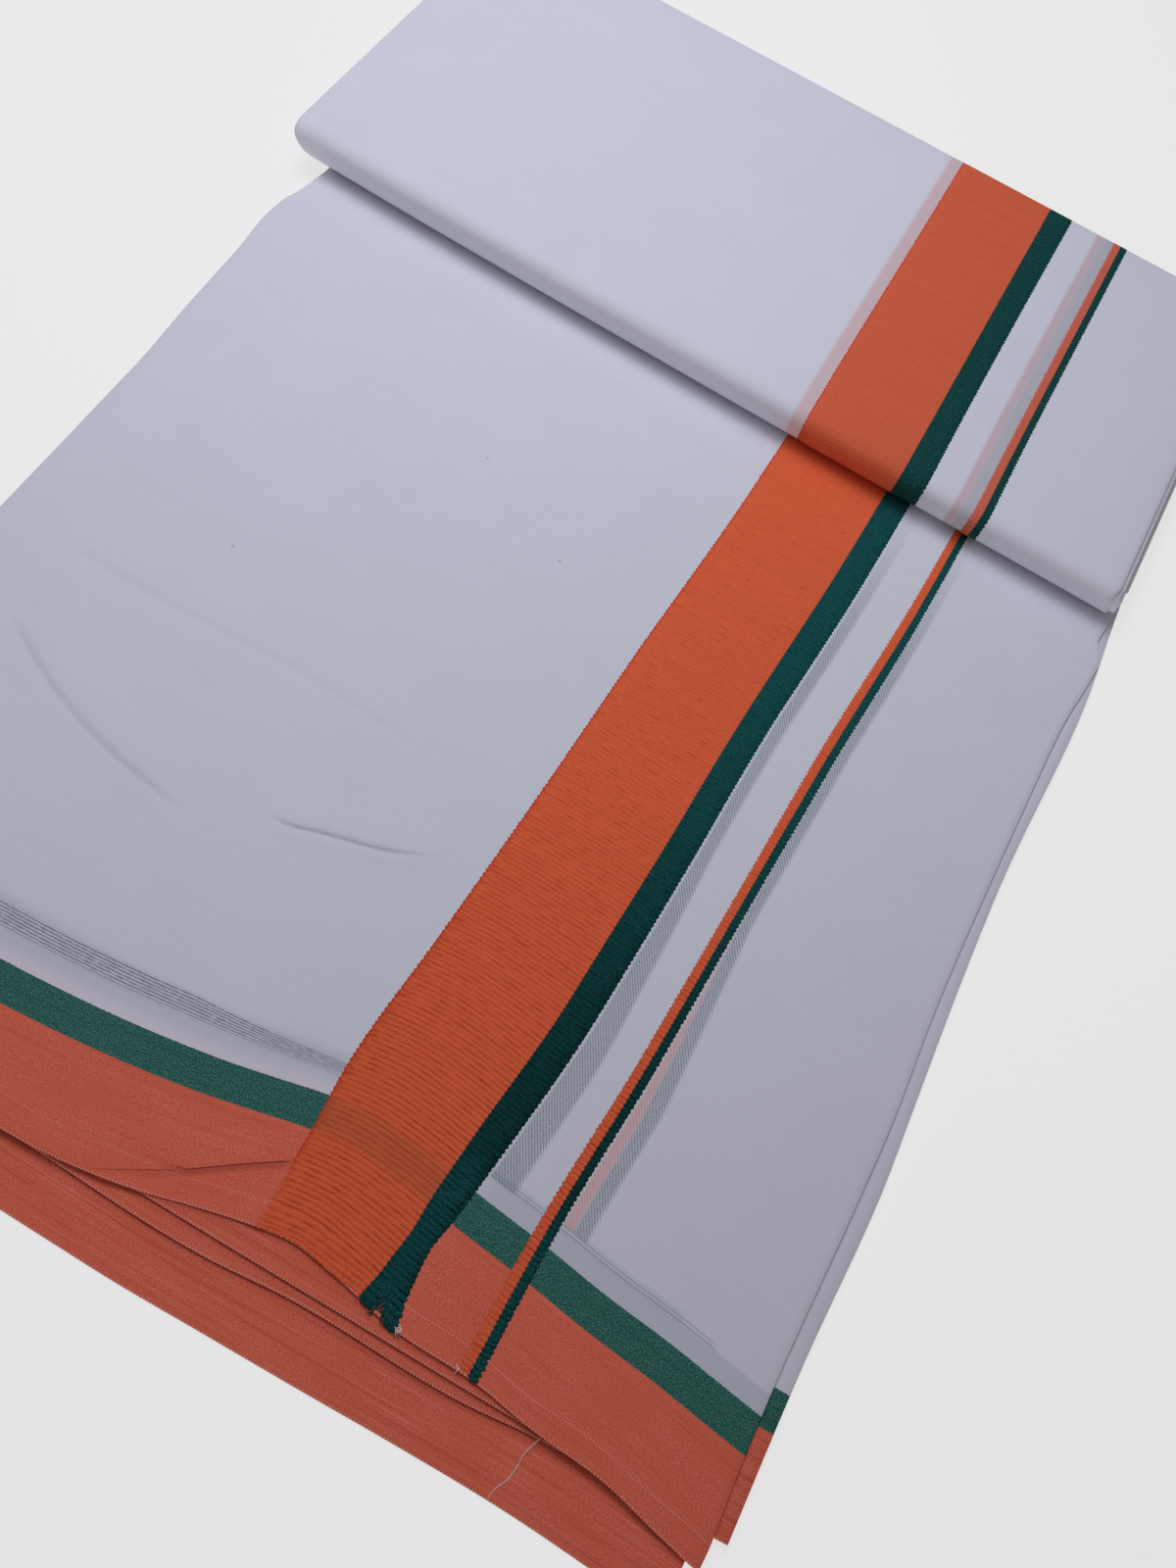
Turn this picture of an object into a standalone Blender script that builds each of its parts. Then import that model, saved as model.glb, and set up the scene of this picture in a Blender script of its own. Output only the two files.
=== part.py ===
"""A dhoti, a plain white cotton wrap with woven bands and a striped selvedge border, folded and lying flat.

The cloth is 3.60 m long and 1.27 m wide. It is folded three times across its length, into eight plies
0.45 m wide. The near half of its width lies as four double leaves, whose front selvedges are fanned. The
far half is folded over and over on top of them, into a soft bundle.

X runs along the cloth's length, Y from the front selvedges to the far fold, and Z up. The origin is on the
table, at the middle of the pack. Lengths and tables are in millimetres, and MM makes them metres.
"""

import bpy
import numpy as np

MM = 0.001
PACK_MIDDLE = (-1.2, 0.2)  # where the tables' own numbers put the middle of the pack
PACK_DEPTH = 659.4  # from the lowest leaf's selvedge to the far fold

# The four leaves, each of two plies.
LEAF = 1.0
SEAM = 0.3
BAND_RELIEF = 0.35  # the bands' heavy weft makes them this much thicker than the ground
STEP_WIDTH = 0.5  # how wide the slope is at a band's edge
EDGE_ROUND = 0.4
DROOP = 0.9  # how far the top leaf sinks where a lower leaf ends under it
DROOP_START, DROOP_END = -11.0, -1.5  # where it sinks, across that leaf's selvedge
LEAF_END = 312.0  # where the leaves stop, inside the far fold

# The bundle, whose outer plies wrap round the hidden ones.
BUNDLE_WALL = 1.2
BUNDLE_TOP = 24.0
BUNDLE_BASE = 4 * LEAF + 3 * SEAM + BAND_RELIEF + SEAM
STEP_FRONT = 121.8
TUCK_UNDER = 30.0
FOLD_SQUARENESS = 2.5  # 2 is an ellipse, and more is squarer
FAR_HALF = BUNDLE_TOP / 2  # half the height of the far fold, and of the step's fold below
FAR_MIDDLE = PACK_DEPTH / 2 - BAND_RELIEF - FAR_HALF
STEP_HALF = (BUNDLE_TOP - BUNDLE_BASE) / 2
STEP_MIDDLE = STEP_FRONT + STEP_HALF

# How the bundle's two ends are soft and askew.
SHOULDER_DROP = 3.0
SHOULDER_WIDTH = 14.0
SKIN = 1.0  # what lies within this of the bundle's top or base moves with it
LEFT_LEAN = 16.5  # how far its top stands out to the left of its base
RIGHT_LEAN = 3.4  # how far its middle layers stand out past its top, to the right
RIGHT_LEAN_TOP = 0.55  # the share of the height where they start to draw back
LEAN_REACH = 60.0
BEND_START, BEND_END = STEP_FRONT + 20.0, STEP_FRONT + 110.0  # where the step's waver dies out, going back
STEP_LINE = (  # x, and how far the step's edge wavers there, along y
    (-234.0, 4.8),
    (-150.0, 2.6),
    (-50.0, 0.8),
    (60.0, -0.5),
    (215.0, -1.2),
)

# The hidden plies in the bundle, whose side folds show as lips at both ends.
CORE_LAYERS = 3
CORE_AIR = 0.2
CORE_BLUNT = 1.2
CORE_LEFT_INSET = 1.5
CORE_RIGHT_REACH = 1.0
CORE_ROWS = (0.0, 0.012, 0.03, 0.07, 0.16, 0.17, 0.5, 0.9, 0.95, 0.98, 1.0)  # shares of its depth
LIP_DEPTH = 1.6
LIP_ROUNDNESS = 0.7

# Columns of cloth: the lengthwise lines that every leaf and the bundle share, from left edge to right edge.
# In the functions, a counts the columns from 0 at the left edge to 7 at the right one.
COLUMNS = ("y", "left", "orange", "green", "ground", "thin_orange", "thin_green", "plain", "right")
BAND_EDGES = ("orange", "ground", "thin_orange", "plain")
WIDE, WIDE_END, THIN, THIN_END = (COLUMNS.index(name) - 1 for name in BAND_EDGES)
TOP_LEAF_LINES = (
    (330.0, -217.4, 45.8, 99.4, 112.2, 136.6, 139.7, 143.2, 216.2),
    (118.0, -217.2, 45.8, 99.2, 112.0, 136.1, 139.2, 142.6, 218.0),
    (94.0, -221.8, 45.7, 99.0, 111.8, 135.7, 139.0, 142.4, 219.5),
    (62.0, -219.8, 45.2, 98.5, 111.3, 134.8, 138.3, 141.9, 218.9),
    (15.0, -217.4, 43.6, 96.8, 109.4, 132.4, 136.0, 139.9, 218.4),
    (-12.0, -215.4, 42.6, 95.9, 108.1, 131.2, 134.9, 138.6, 218.5),
    (-38.7, -214.8, 42.1, 95.4, 107.6, 130.6, 134.2, 138.0, 218.7),
    (-88.7, -213.8, 41.2, 95.2, 107.6, 129.8, 133.2, 136.7, 219.8),
    (-138.7, -213.2, 39.8, 94.2, 106.9, 128.8, 132.2, 135.7, 223.0),
    (-168.7, -213.0, 38.8, 93.6, 106.2, 128.1, 131.5, 135.1, 223.4),
    (-228.7, -212.4, 36.8, 89.0, 101.2, 125.2, 128.8, 132.4, 223.4),
    (-252.7, -212.2, 39.0, 87.0, 100.6, 124.9, 128.6, 132.5, 224.2),
    (-288.7, -212.0, 40.9, 85.0, 100.4, 125.3, 129.2, 133.3, 226.4),
    (-306.7, -212.0, 41.3, 84.8, 100.6, 125.4, 129.4, 133.4, 227.6),
)
BUNDLE_LINES = (
    (329.7, -231.0, 46.8, 97.8, 110.8, 135.2, 138.7, 142.6, 214.0),
    (240.0, -232.4, 48.6, 99.2, 111.6, 136.2, 139.8, 143.5, 213.4),
    (165.0, -233.8, 49.9, 100.4, 112.8, 137.2, 140.8, 144.5, 213.9),
    (121.8, -234.2, 51.0, 100.9, 113.9, 138.0, 141.8, 145.7, 214.2),
)
BUNDLE_LEFT, BUNDLE_RIGHT = BUNDLE_LINES[0][1], BUNDLE_LINES[0][-1]

# Selvedges, as distances from the datum's y at places across the pack. A selvedge is where the cloth's own
# edge lies, and the border line is where its orange stripe meets its green one.
SELVEDGE_DATUM = -288.7
BORDER_ORANGE = 36.5
WAVER_START, WAVER_END = 60.0, 200.0  # how far up the cloth the selvedge's waver dies out
LOWER_WAVER = 0.3  # and the same on a lower leaf, as a share of its length
TOP_SELVEDGE = (  # x, selvedge, border line
    (-212.0, -23.0, 12.5),
    (-150.0, -21.5, 13.5),
    (-75.0, -18.0, 17.0),
    (-29.0, -15.4, 22.4),
    (2.0, -9.7, 28.0),
    (17.0, -5.5, 31.5),
    (40.0, 0.1, 36.8),
    (55.0, 2.4, 38.6),
    (73.0, 0.7, 38.0),
    (101.0, -3.5, 34.8),
    (133.0, -3.8, 31.8),
    (156.0, -6.4, 29.0),
    (187.5, -8.3, 26.4),
    (207.0, -12.1, 24.1),
    (228.0, -15.9, 21.8),
)
SECOND_SELVEDGE = ((-212.0, -13.0), (-60.0, -11.0), (16.0, -10.0), (91.0, -8.1), (156.0, -6.4), (233.0, -4.0))
THIRD_SELVEDGE = ((-212.0, -20.0), (-50.0, -16.8), (34.0, -16.1), (62.0, -13.2), (135.0, -10.8), (229.0, -9.0))
BOTTOM_SELVEDGE = (
    (-214.0, -40.0),
    (-110.0, -40.2),
    (-36.0, -39.6),
    (-8.0, -40.2),
    (20.0, -38.3),
    (123.0, -33.0),
    (226.0, -32.8),
)

# Side edges of the leaves under the top one: y, left edge, right edge.
SECOND_SIDES = (
    (330.0, -216.2, 216.6),
    (115.0, -216.0, 220.8),
    (86.0, -217.0, 222.8),
    (-30.0, -213.4, 223.2),
    (-75.0, -212.6, 225.0),
    (-128.0, -212.0, 228.2),
    (-160.0, -211.4, 230.2),
    (-228.7, -211.0, 229.8),
    (-292.0, -210.8, 231.4),
)
THIRD_SIDES = ((330.0, -217.0, 215.4), (115.0, -217.4, 219.4), (-30.0, -214.2, 221.4), (-298.7, -211.4, 223.4))
BOTTOM_SIDES = ((330.0, -216.6, 216.0), (115.0, -216.8, 218.6), (-30.0, -213.8, 220.6), (-329.7, -210.6, 221.6))

# Soft ridges in the top leaf, each a bell across a line that fades at its ends.
TOP_CREASES = (  # x0, y0, x1, y1, width, height
    (-176.0, -147.0, -70.0, -178.0, 9.0, 0.5),
    (-44.0, -163.0, 26.0, -139.0, 9.0, 0.6),
    (-16.0, -287.0, 36.0, -268.5, 7.0, 0.9),
)

# The grids: how far up the cloth each row of the leaves lies, in millimetres or as shares of their length.
TOP_ROWS = (
    0.0, 3.0, 6.0, 9.0, 12.0, 16.0, 20.0, 28.0, BORDER_ORANGE, 54.0, 78.0, 100.0, 112.0, 122.0, 132.0, 142.0,
    154.0, 180.0, 240.0, 320.0, 352.0, 368.0, 378.0, 388.0, 400.0, LEAF_END - SELVEDGE_DATUM,
)
LOWER_ROWS = (0.0, 0.03, 0.08, 0.14, 0.2, 0.26, 0.32, 0.42, 0.52, 0.62, 0.7, 1.0)
LOWER_COLUMNS = np.linspace(0, 1, 25)
THROUGH = (0.0, 0.5, 1.0)  # bottom, mid-thickness and top

WHITE = (0.66, 0.66, 0.74)
HIDDEN_WHITE = (0.62, 0.62, 0.70)
BORDER_COLOUR = (0.42, 0.10, 0.06)
COTTON_ROUGHNESS = 0.85


def curve_through(table, column, at):
    """A smooth curve through a table's rows: piecewise cubic, its slope at each row from the rows beside it."""
    rows = np.array(sorted(table), float)
    known, values = rows[:, 0], rows[:, column]
    slope = np.gradient(values, known)
    at = np.clip(at, known[0], known[-1])
    left = np.clip(np.searchsorted(known, at, side="right") - 1, 0, len(known) - 2)
    span = known[left + 1] - known[left]
    t = (at - known[left]) / span
    rise = t * t * (3 - 2 * t)
    lead = (t * (1 - t) ** 2 * slope[left] - t * t * (1 - t) * slope[left + 1]) * span
    return values[left] * (1 - rise) + values[left + 1] * rise + lead


def ease(value, start, end):
    """0 before start, 1 after end, and a smooth rise between them."""
    t = np.clip((value - start) / (end - start), 0.0, 1.0)
    return t * t * (3 - 2 * t)


def across(lines, y, a):
    """X of the cloth's line a at each y, where a may lie between two columns."""
    guides = np.stack([curve_through(lines, column, y) for column in range(1, len(COLUMNS))])
    below = np.clip(np.floor(a).astype(int), 0, len(guides) - 2)
    share = a - below
    rows = np.arange(len(y))
    return guides[below, rows] * (1 - share) + guides[below + 1, rows] * share


def plain_stops(width, count):
    """Shares of a plain stretch's width, from the pack's side in: close on the shoulder, ending at a band's step."""
    rounded = SHOULDER_WIDTH * np.array((0.0, 0.3, 0.65, 1.0))
    return np.append(rounded, np.linspace(SHOULDER_WIDTH, width - STEP_WIDTH, count)[1:]) / width


def column_stops(lines, left_count, right_count):
    """Values of a: plain cloth at both sides, the bands' edges and colours, and the foot of each edge's slope."""
    widths = np.diff(lines[0][1:])
    step = STEP_WIDTH / widths[WIDE_END]
    wide = [WIDE, WIDE + 0.5, WIDE + 1.0, WIDE_END, WIDE_END + step]
    thin = [THIN - step, THIN, THIN + 1.0, THIN_END]
    left = plain_stops(widths[0], left_count)
    right = len(widths) - plain_stops(widths[-1], right_count)[::-1]
    return np.concatenate([left, wide, thin, right])


def band_height(a):
    """1 on the woven bands and 0 on the plain ground."""
    near = 1e-6
    wide = (a > WIDE - near) & (a < WIDE_END + near)
    narrow = (a > THIN - near) & (a < THIN_END + near)
    return (wide | narrow).astype(float)


def cloth_material(name, colour):
    material = bpy.data.materials.new(name + "_cloth")
    material.use_nodes = True
    shader = material.node_tree.nodes["Principled BSDF"]
    shader.inputs["Base Color"].default_value = (*colour, 1.0)
    shader.inputs["Roughness"].default_value = COTTON_ROUGHNESS
    shader.inputs["Metallic"].default_value = 0.0
    return material


def block(name, stops, place, colour):
    """A closed solid over a grid of a, b and c, the steps across, along and through the cloth.

    Only the grid's outer skin is made: its six sides share the points on their common edges. place turns
    whole arrays of a, b and c into millimetres.
    """
    counts = [len(s) for s in stops]
    number = {}
    faces = []
    for axis in range(3):
        first, second = (axis + 1) % 3, (axis + 2) % 3
        for end in (0, counts[axis] - 1):
            for i in range(counts[first] - 1):
                for j in range(counts[second] - 1):
                    ring = [(i, j), (i + 1, j), (i + 1, j + 1), (i, j + 1)]
                    if end == 0:
                        ring.reverse()
                    face = []
                    for p, q in ring:
                        key = [0, 0, 0]
                        key[axis], key[first], key[second] = end, p, q
                        face.append(number.setdefault(tuple(key), len(number)))
                    faces.append(face)
    grid = np.array(list(number))
    a, b, c = (np.asarray(stops[axis], float)[grid[:, axis]] for axis in range(3))
    mesh = bpy.data.meshes.new(name)
    x, y, z = place(a, b, c)
    points = np.stack((x - PACK_MIDDLE[0], y - PACK_MIDDLE[1], z), axis=1)
    mesh.from_pydata((points * MM).tolist(), [], faces)
    mesh.update()
    piece = bpy.data.objects.new(name, mesh)
    bpy.context.scene.collection.objects.link(piece)
    mesh.shade_smooth()
    mesh.set_sharp_from_angle(angle=np.radians(40))
    mesh.materials.append(cloth_material(name, colour))
    return piece


def rounded_edge(value, low, high, c):
    """How far an edge bulges at its mid-thickness: outwards at the low edge and the high one, 0 elsewhere."""
    middle = 1 - np.abs(2 * c - 1)
    return EDGE_ROUND * middle * ((value == high).astype(float) - (value == low).astype(float))


def support(x, y):
    """The height that lies under the top leaf: three leaves and their air, less where one ends under it."""
    height = np.full(len(x), 3 * (LEAF + SEAM))
    for selvedge in (THIRD_SELVEDGE, SECOND_SELVEDGE):
        edge = SELVEDGE_DATUM + curve_through(selvedge, 1, x)
        height -= DROOP * (1 - ease(y, edge + DROOP_START, edge + DROOP_END))
    return height


def crease_height(x, y):
    """Soft ridges: a bell across each line, fading to nothing at its ends."""
    height = np.zeros(len(x))
    for x0, y0, x1, y1, width, rise in TOP_CREASES:
        run = np.array((x1 - x0, y1 - y0))
        length = np.hypot(*run)
        along = ((x - x0) * run[0] + (y - y0) * run[1]) / length**2
        aside = ((y - y0) * run[0] - (x - x0) * run[1]) / length
        fade = ease(along, -0.05, 0.25) * (1 - ease(along, 0.75, 1.05))
        height += rise * fade * np.exp(-((aside / width) ** 2))
    return height


def top_leaf():
    """The leaf that shows: b runs up the cloth in millimetres from its selvedge."""
    columns = column_stops(TOP_LEAF_LINES, 11, 4)

    def place(a, b, c):
        straight = SELVEDGE_DATUM + b
        x = across(TOP_LEAF_LINES, straight, a)
        selvedge = curve_through(TOP_SELVEDGE, 1, x)
        border = curve_through(TOP_SELVEDGE, 2, x) - BORDER_ORANGE
        share = np.clip(b / BORDER_ORANGE, 0, 1)
        y = straight + (selvedge * (1 - share) + border * share) * (1 - ease(b, WAVER_START, WAVER_END))
        x = x + rounded_edge(a, columns[0], columns[-1], c)
        y = y + rounded_edge(b, TOP_ROWS[0], TOP_ROWS[-1], c)
        lift = support(x, y) + crease_height(x, y)
        return x, y, lift + (LEAF + BAND_RELIEF * band_height(a)) * c

    return block("top_leaf", (columns, TOP_ROWS, THROUGH), place, WHITE)


def lower_leaf(name, level, selvedge, sides):
    """A leaf under the top one, plain and flat. Its front selvedge shows, and a band of its right edge."""

    def place(a, b, c):
        flat = SELVEDGE_DATUM + b * (LEAF_END - SELVEDGE_DATUM)
        left, right = (curve_through(sides, column, flat) for column in (1, 2))
        x = left * (1 - a) + right * a
        y = flat + curve_through(selvedge, 1, x) * (1 - ease(b, 0.0, LOWER_WAVER))
        x = x + rounded_edge(a, LOWER_COLUMNS[0], LOWER_COLUMNS[-1], c)
        y = y + rounded_edge(b, LOWER_ROWS[0], LOWER_ROWS[-1], c)
        return x, y, level * (LEAF + SEAM) + LEAF * c

    return block(name, (LOWER_COLUMNS, LOWER_ROWS, THROUGH), place, BORDER_COLOUR)


def superellipse(half, turn):
    """A round fold's outline at each turn from -90 to 90 degrees: how far out, and how far up from its middle."""
    power = 2 / FOLD_SQUARENESS
    out = half * np.maximum(np.cos(turn), 0.0) ** power
    return out, half * np.sign(turn) * np.abs(np.sin(turn)) ** power


def rounded_half(reach, half):
    """Half the height of such a fold, where reach says how near to its tip the point lies, from 0 to 1."""
    return half * (1 - np.clip(reach, 0, 1) ** FOLD_SQUARENESS) ** (1 / FOLD_SQUARENESS)


def folded_profile(inset, b):
    """The bundle's section at b, which counts its five stretches, moved in by inset: (y, z) arrays.

    It starts on the table behind the leaves, goes up round the far fold, forward over the top, down the
    step's face and back under the bundle.
    """
    t = b - np.clip(np.ceil(b) - 1, 0, 4)
    far_out, far_up = superellipse(FAR_HALF - inset, np.pi * (t - 0.5))
    step_out, step_up = superellipse(STEP_HALF - inset, np.pi * (0.5 - t))
    stretches = [b <= 1, b <= 2, b <= 3, b <= 4]
    start = LEAF_END + EDGE_ROUND + SEAM
    on_table = start + (FAR_MIDDLE - start) * t
    over_top = FAR_MIDDLE + (STEP_MIDDLE - FAR_MIDDLE) * t
    y = np.select(
        stretches,
        [on_table, FAR_MIDDLE + far_out, over_top, STEP_MIDDLE - step_out],
        STEP_MIDDLE + TUCK_UNDER * t,
    )
    z = np.select(
        stretches,
        [inset, FAR_HALF + far_up, BUNDLE_TOP - inset, BUNDLE_BASE + STEP_HALF + step_up],
        BUNDLE_BASE + inset,
    )
    return y, z


def sunk_shoulders(x, z):
    """Z with the bundle's top sunk towards its two ends, where the plies' side folds are soft."""
    ends = np.minimum(x - BUNDLE_LEFT, BUNDLE_RIGHT - x)
    sink = SHOULDER_DROP * (1 - np.clip(ends / SHOULDER_WIDTH, 0, 1)) ** 2
    return z - sink * ease(z, BUNDLE_BASE + SKIN, BUNDLE_TOP - SKIN)


def leaning(x, y, z):
    """X and y with the bundle's ends askew: its upper layers lie further left, and its step wavers."""
    height = np.clip((z - BUNDLE_BASE) / (BUNDLE_TOP - BUNDLE_BASE - 2 * SKIN), 0, 1)
    near_left = 1 - np.clip((x - BUNDLE_LEFT) / LEAN_REACH, 0, 1)
    near_right = 1 - np.clip((BUNDLE_RIGHT - x) / LEAN_REACH, 0, 1)
    from_left = LEFT_LEAN * (1 - height) * near_left
    from_right = RIGHT_LEAN * (1 - ease(height, RIGHT_LEAN_TOP, 1.0)) * near_right
    waver = curve_through(STEP_LINE, 1, x) * (1 - ease(y, BEND_START, BEND_END))
    return x + from_left + from_right, y + waver


def bundle_wrap():
    """The outer plies of the bundle, a wall along the folded section with raised bands; c runs inwards."""
    columns = column_stops(BUNDLE_LINES, 5, 3)
    turns = np.linspace(0, 1, 11)
    rows = np.concatenate([[0.0], 1 + turns, [2.25, 2.5, 2.75], 3 + turns, [5.0]])

    def place(a, b, c):
        raised = BAND_RELIEF * band_height(a) * ease(b, 1.0, 1.4) * (1 - ease(b, 3.6, 4.0))
        y, z = folded_profile(np.where(c == 0, -raised, BUNDLE_WALL), b)
        x, y = leaning(across(BUNDLE_LINES, y, a), y, z)
        return x, y, sunk_shoulders(x, z)

    return block("bundle_wrap", (columns, rows, (0.0, 1.0)), place, WHITE)


def bundle_core():
    """The hidden plies inside the wrap, one rounded solid whose two ends show the folded layers as lips."""
    inset = BUNDLE_WALL + SEAM + CORE_AIR
    near_end = np.array((0.0, 0.3, 0.65, 1.0, 1.6)) * SHOULDER_WIDTH
    width = BUNDLE_RIGHT - BUNDLE_LEFT
    columns = np.concatenate([near_end, width - near_end[::-1]]) / width
    heights = np.linspace(0, 1, 4 * CORE_LAYERS + 1)
    step_half, far_half = STEP_HALF - inset, FAR_HALF - inset
    front, back = STEP_FRONT + inset + CORE_BLUNT, FAR_MIDDLE + FAR_HALF - inset - CORE_BLUNT
    middle = BUNDLE_BASE + STEP_HALF
    left, right = BUNDLE_LEFT + CORE_LEFT_INSET, BUNDLE_RIGHT + CORE_RIGHT_REACH

    def place(a, b, c):
        y = front + (back - front) * b
        rise = rounded_half((STEP_MIDDLE - y) / step_half, step_half)
        far_rise = rounded_half((y - FAR_MIDDLE) / far_half, far_half)
        top = np.where(y < STEP_MIDDLE, middle + rise, FAR_HALF + far_rise)
        over_tuck = y < STEP_MIDDLE + TUCK_UNDER + SEAM
        bottom = BUNDLE_BASE + inset * over_tuck
        bottom = np.where(y < STEP_MIDDLE, middle - rise, bottom)
        bottom = np.where(y > FAR_MIDDLE, np.maximum(BUNDLE_BASE, FAR_HALF - far_rise), bottom)
        groove = LIP_DEPTH * (1 - np.abs(np.sin(np.pi * CORE_LAYERS * c)) ** LIP_ROUNDNESS)
        x = left + (right - left) * a + groove * (a == 0) - groove * (a == 1)
        z = bottom + (top - bottom) * c
        x, y = leaning(x, y, z)
        return x, y, sunk_shoulders(x, z)

    return block("bundle_core", (columns, CORE_ROWS, heights), place, HIDDEN_WHITE)


for old in list(bpy.data.objects):
    bpy.data.objects.remove(old, do_unlink=True)
top_leaf()
lower_leaf("second_leaf", 2, SECOND_SELVEDGE, SECOND_SIDES)
lower_leaf("third_leaf", 1, THIRD_SELVEDGE, THIRD_SIDES)
lower_leaf("bottom_leaf", 0, BOTTOM_SELVEDGE, BOTTOM_SIDES)
bundle_wrap()
bundle_core()
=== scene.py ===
"""The looks of a folded dhoti: white cotton with woven bands, a striped selvedge border and its creases.

X runs along the cloth's length, Y from the front selvedges to the far fold, and Z up. Tables and lengths are
in millimetres in the tables' own frame, and metres() moves points from there to the part's frame. Each piece
carries a "cloth" attribute: how far each point lies along the cloth's length and width, in millimetres from
the wide band's left edge and from the selvedge, and a share from 0 to 1. On a band that is how high the point
stands on its rib, which sets the painted shade in its grooves, and on plain cloth how much painted shade it
gets from a fold line or from the leaf above.
"""

import bpy
import numpy as np
from mathutils import Matrix, Vector


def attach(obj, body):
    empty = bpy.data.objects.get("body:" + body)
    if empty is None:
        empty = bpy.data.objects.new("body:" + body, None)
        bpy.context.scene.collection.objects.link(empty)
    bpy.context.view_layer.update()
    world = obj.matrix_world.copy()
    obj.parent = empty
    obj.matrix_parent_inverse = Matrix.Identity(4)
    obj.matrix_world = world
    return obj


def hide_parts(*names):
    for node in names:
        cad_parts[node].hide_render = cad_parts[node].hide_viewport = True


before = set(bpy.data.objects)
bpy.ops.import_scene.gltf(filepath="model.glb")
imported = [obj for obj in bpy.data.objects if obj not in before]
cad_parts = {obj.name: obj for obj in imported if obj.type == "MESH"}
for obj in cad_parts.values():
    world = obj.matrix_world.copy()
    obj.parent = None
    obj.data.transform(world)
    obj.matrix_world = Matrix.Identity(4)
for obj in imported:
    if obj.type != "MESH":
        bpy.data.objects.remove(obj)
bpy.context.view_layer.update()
scene = bpy.context.scene

# ---------------------------------------------------------------- top leaf
# The leaf that shows: two plies of plain-woven white cotton, folded together at the right. A green and
# orange warp border runs along its front selvedge, and its old folds have left creases.

LEAF = 1.0
SEAM = 0.3
BAND_RELIEF = 0.35
LEAF_END = 312.0
SELVEDGE_DATUM = -288.7
BORDER_ORANGE = 36.5
BORDER_GREEN = 50.0
MIDDLE = (-1.2, 0.2)
DROOP = 0.9
DROOP_START, DROOP_END = -11.0, -1.5
WAVER_START, WAVER_END = 60.0, 200.0

# y, then x of each line across the cloth: its left edge, the wide band's orange and green, the ground after
# it, the thin band's orange and green, the plain ground and the right edge
TOP_LEAF_LINES = (
    (330.0, -217.4, 45.8, 99.4, 112.2, 136.6, 139.7, 143.2, 216.2),
    (118.0, -217.2, 45.8, 99.2, 112.0, 136.1, 139.2, 142.6, 218.0),
    (108.5, -218.6, 45.8, 99.1, 111.9, 135.9, 139.1, 142.5, 217.4),
    (100.5, -220.8, 45.7, 99.1, 111.9, 135.8, 139.1, 142.5, 221.8),
    (92.0, -221.8, 45.7, 99.0, 111.8, 135.7, 139.0, 142.4, 221.6),
    (62.0, -219.8, 45.2, 98.5, 111.3, 134.8, 138.3, 141.9, 218.9),
    (15.0, -217.4, 43.6, 96.8, 109.4, 132.4, 136.0, 139.9, 218.4),
    (-12.0, -215.4, 42.6, 95.9, 108.1, 131.2, 134.9, 138.6, 218.5),
    (-38.7, -214.8, 42.1, 95.4, 107.6, 130.6, 134.2, 138.0, 218.7),
    (-88.7, -213.8, 41.2, 95.2, 107.6, 129.8, 133.2, 136.7, 219.8),
    (-138.7, -213.2, 39.8, 94.2, 106.9, 128.8, 132.2, 135.7, 223.0),
    (-168.7, -213.0, 38.8, 93.6, 106.2, 128.1, 131.5, 135.1, 223.4),
    (-228.7, -212.4, 36.8, 89.0, 101.2, 125.2, 128.8, 132.4, 223.4),
    (-252.7, -212.2, 39.0, 87.8, 98.6, 124.9, 128.6, 132.5, 224.2),
    (-262.0, -212.1, 39.5, 88.0, 97.0, 125.0, 128.7, 132.7, 224.7),
    (-275.0, -212.1, 40.2, 86.2, 98.0, 125.1, 129.0, 133.0, 225.6),
    (-288.7, -212.0, 40.9, 85.0, 99.9, 125.3, 129.2, 133.3, 226.4),
    (-306.7, -212.0, 41.3, 84.8, 100.6, 125.4, 129.4, 133.4, 227.6),
)
# Where the six inner lines lie along the flat cloth
CLOTH_LINES = (0.0, 53.4, 66.2, 90.3, 93.4, 96.8)
WIDE_LEFT, WIDE_CHANGE, WIDE_RIGHT, THIN_LEFT, THIN_CHANGE, THIN_RIGHT = CLOTH_LINES

# x, and how far the selvedge and the border's orange edge lie in front of the datum there
TOP_SELVEDGE = (
    (-212.0, -23.0, 12.5),
    (-150.0, -21.5, 13.5),
    (-75.0, -18.0, 17.0),
    (-29.0, -15.4, 22.4),
    (2.0, -9.7, 28.0),
    (17.0, -5.5, 31.5),
    (40.0, 0.1, 36.8),
    (55.0, 2.4, 38.6),
    (73.0, 0.7, 38.0),
    (101.0, -3.5, 34.8),
    (133.0, -3.8, 31.8),
    (156.0, -6.4, 29.0),
    (187.5, -8.3, 26.4),
    (207.0, -12.1, 24.1),
    (228.0, -15.9, 21.8),
)
SECOND_SELVEDGE = ((-212.0, -13.0), (-60.0, -11.0), (16.0, -10.0), (91.0, -8.1), (156.0, -6.4), (233.0, -4.0))
THIRD_SELVEDGE = (
    (-212.0, -20.0),
    (-50.0, -16.8),
    (34.0, -16.1),
    (62.0, -13.2),
    (135.0, -10.8),
    (158.0, -8.0),
    (185.0, -6.6),
    (229.0, -6.0),
)

# Soft swellings: x0, y0, x1, y1, width, height
SWELLINGS = (
    (-176.0, -147.0, -70.0, -178.0, 9.0, 0.5),
    (-44.0, -163.0, 26.0, -139.0, 9.0, 0.6),
    (-16.0, -287.0, 36.0, -268.5, 7.0, 0.9),
    (-150.0, 60.0, -20.0, 20.0, 30.0, 0.35),
    (160.0, -60.0, 205.0, -190.0, 22.0, 0.4),
    (-330.0, 104.0, 330.0, 102.0, 8.0, 0.7),
)
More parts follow.
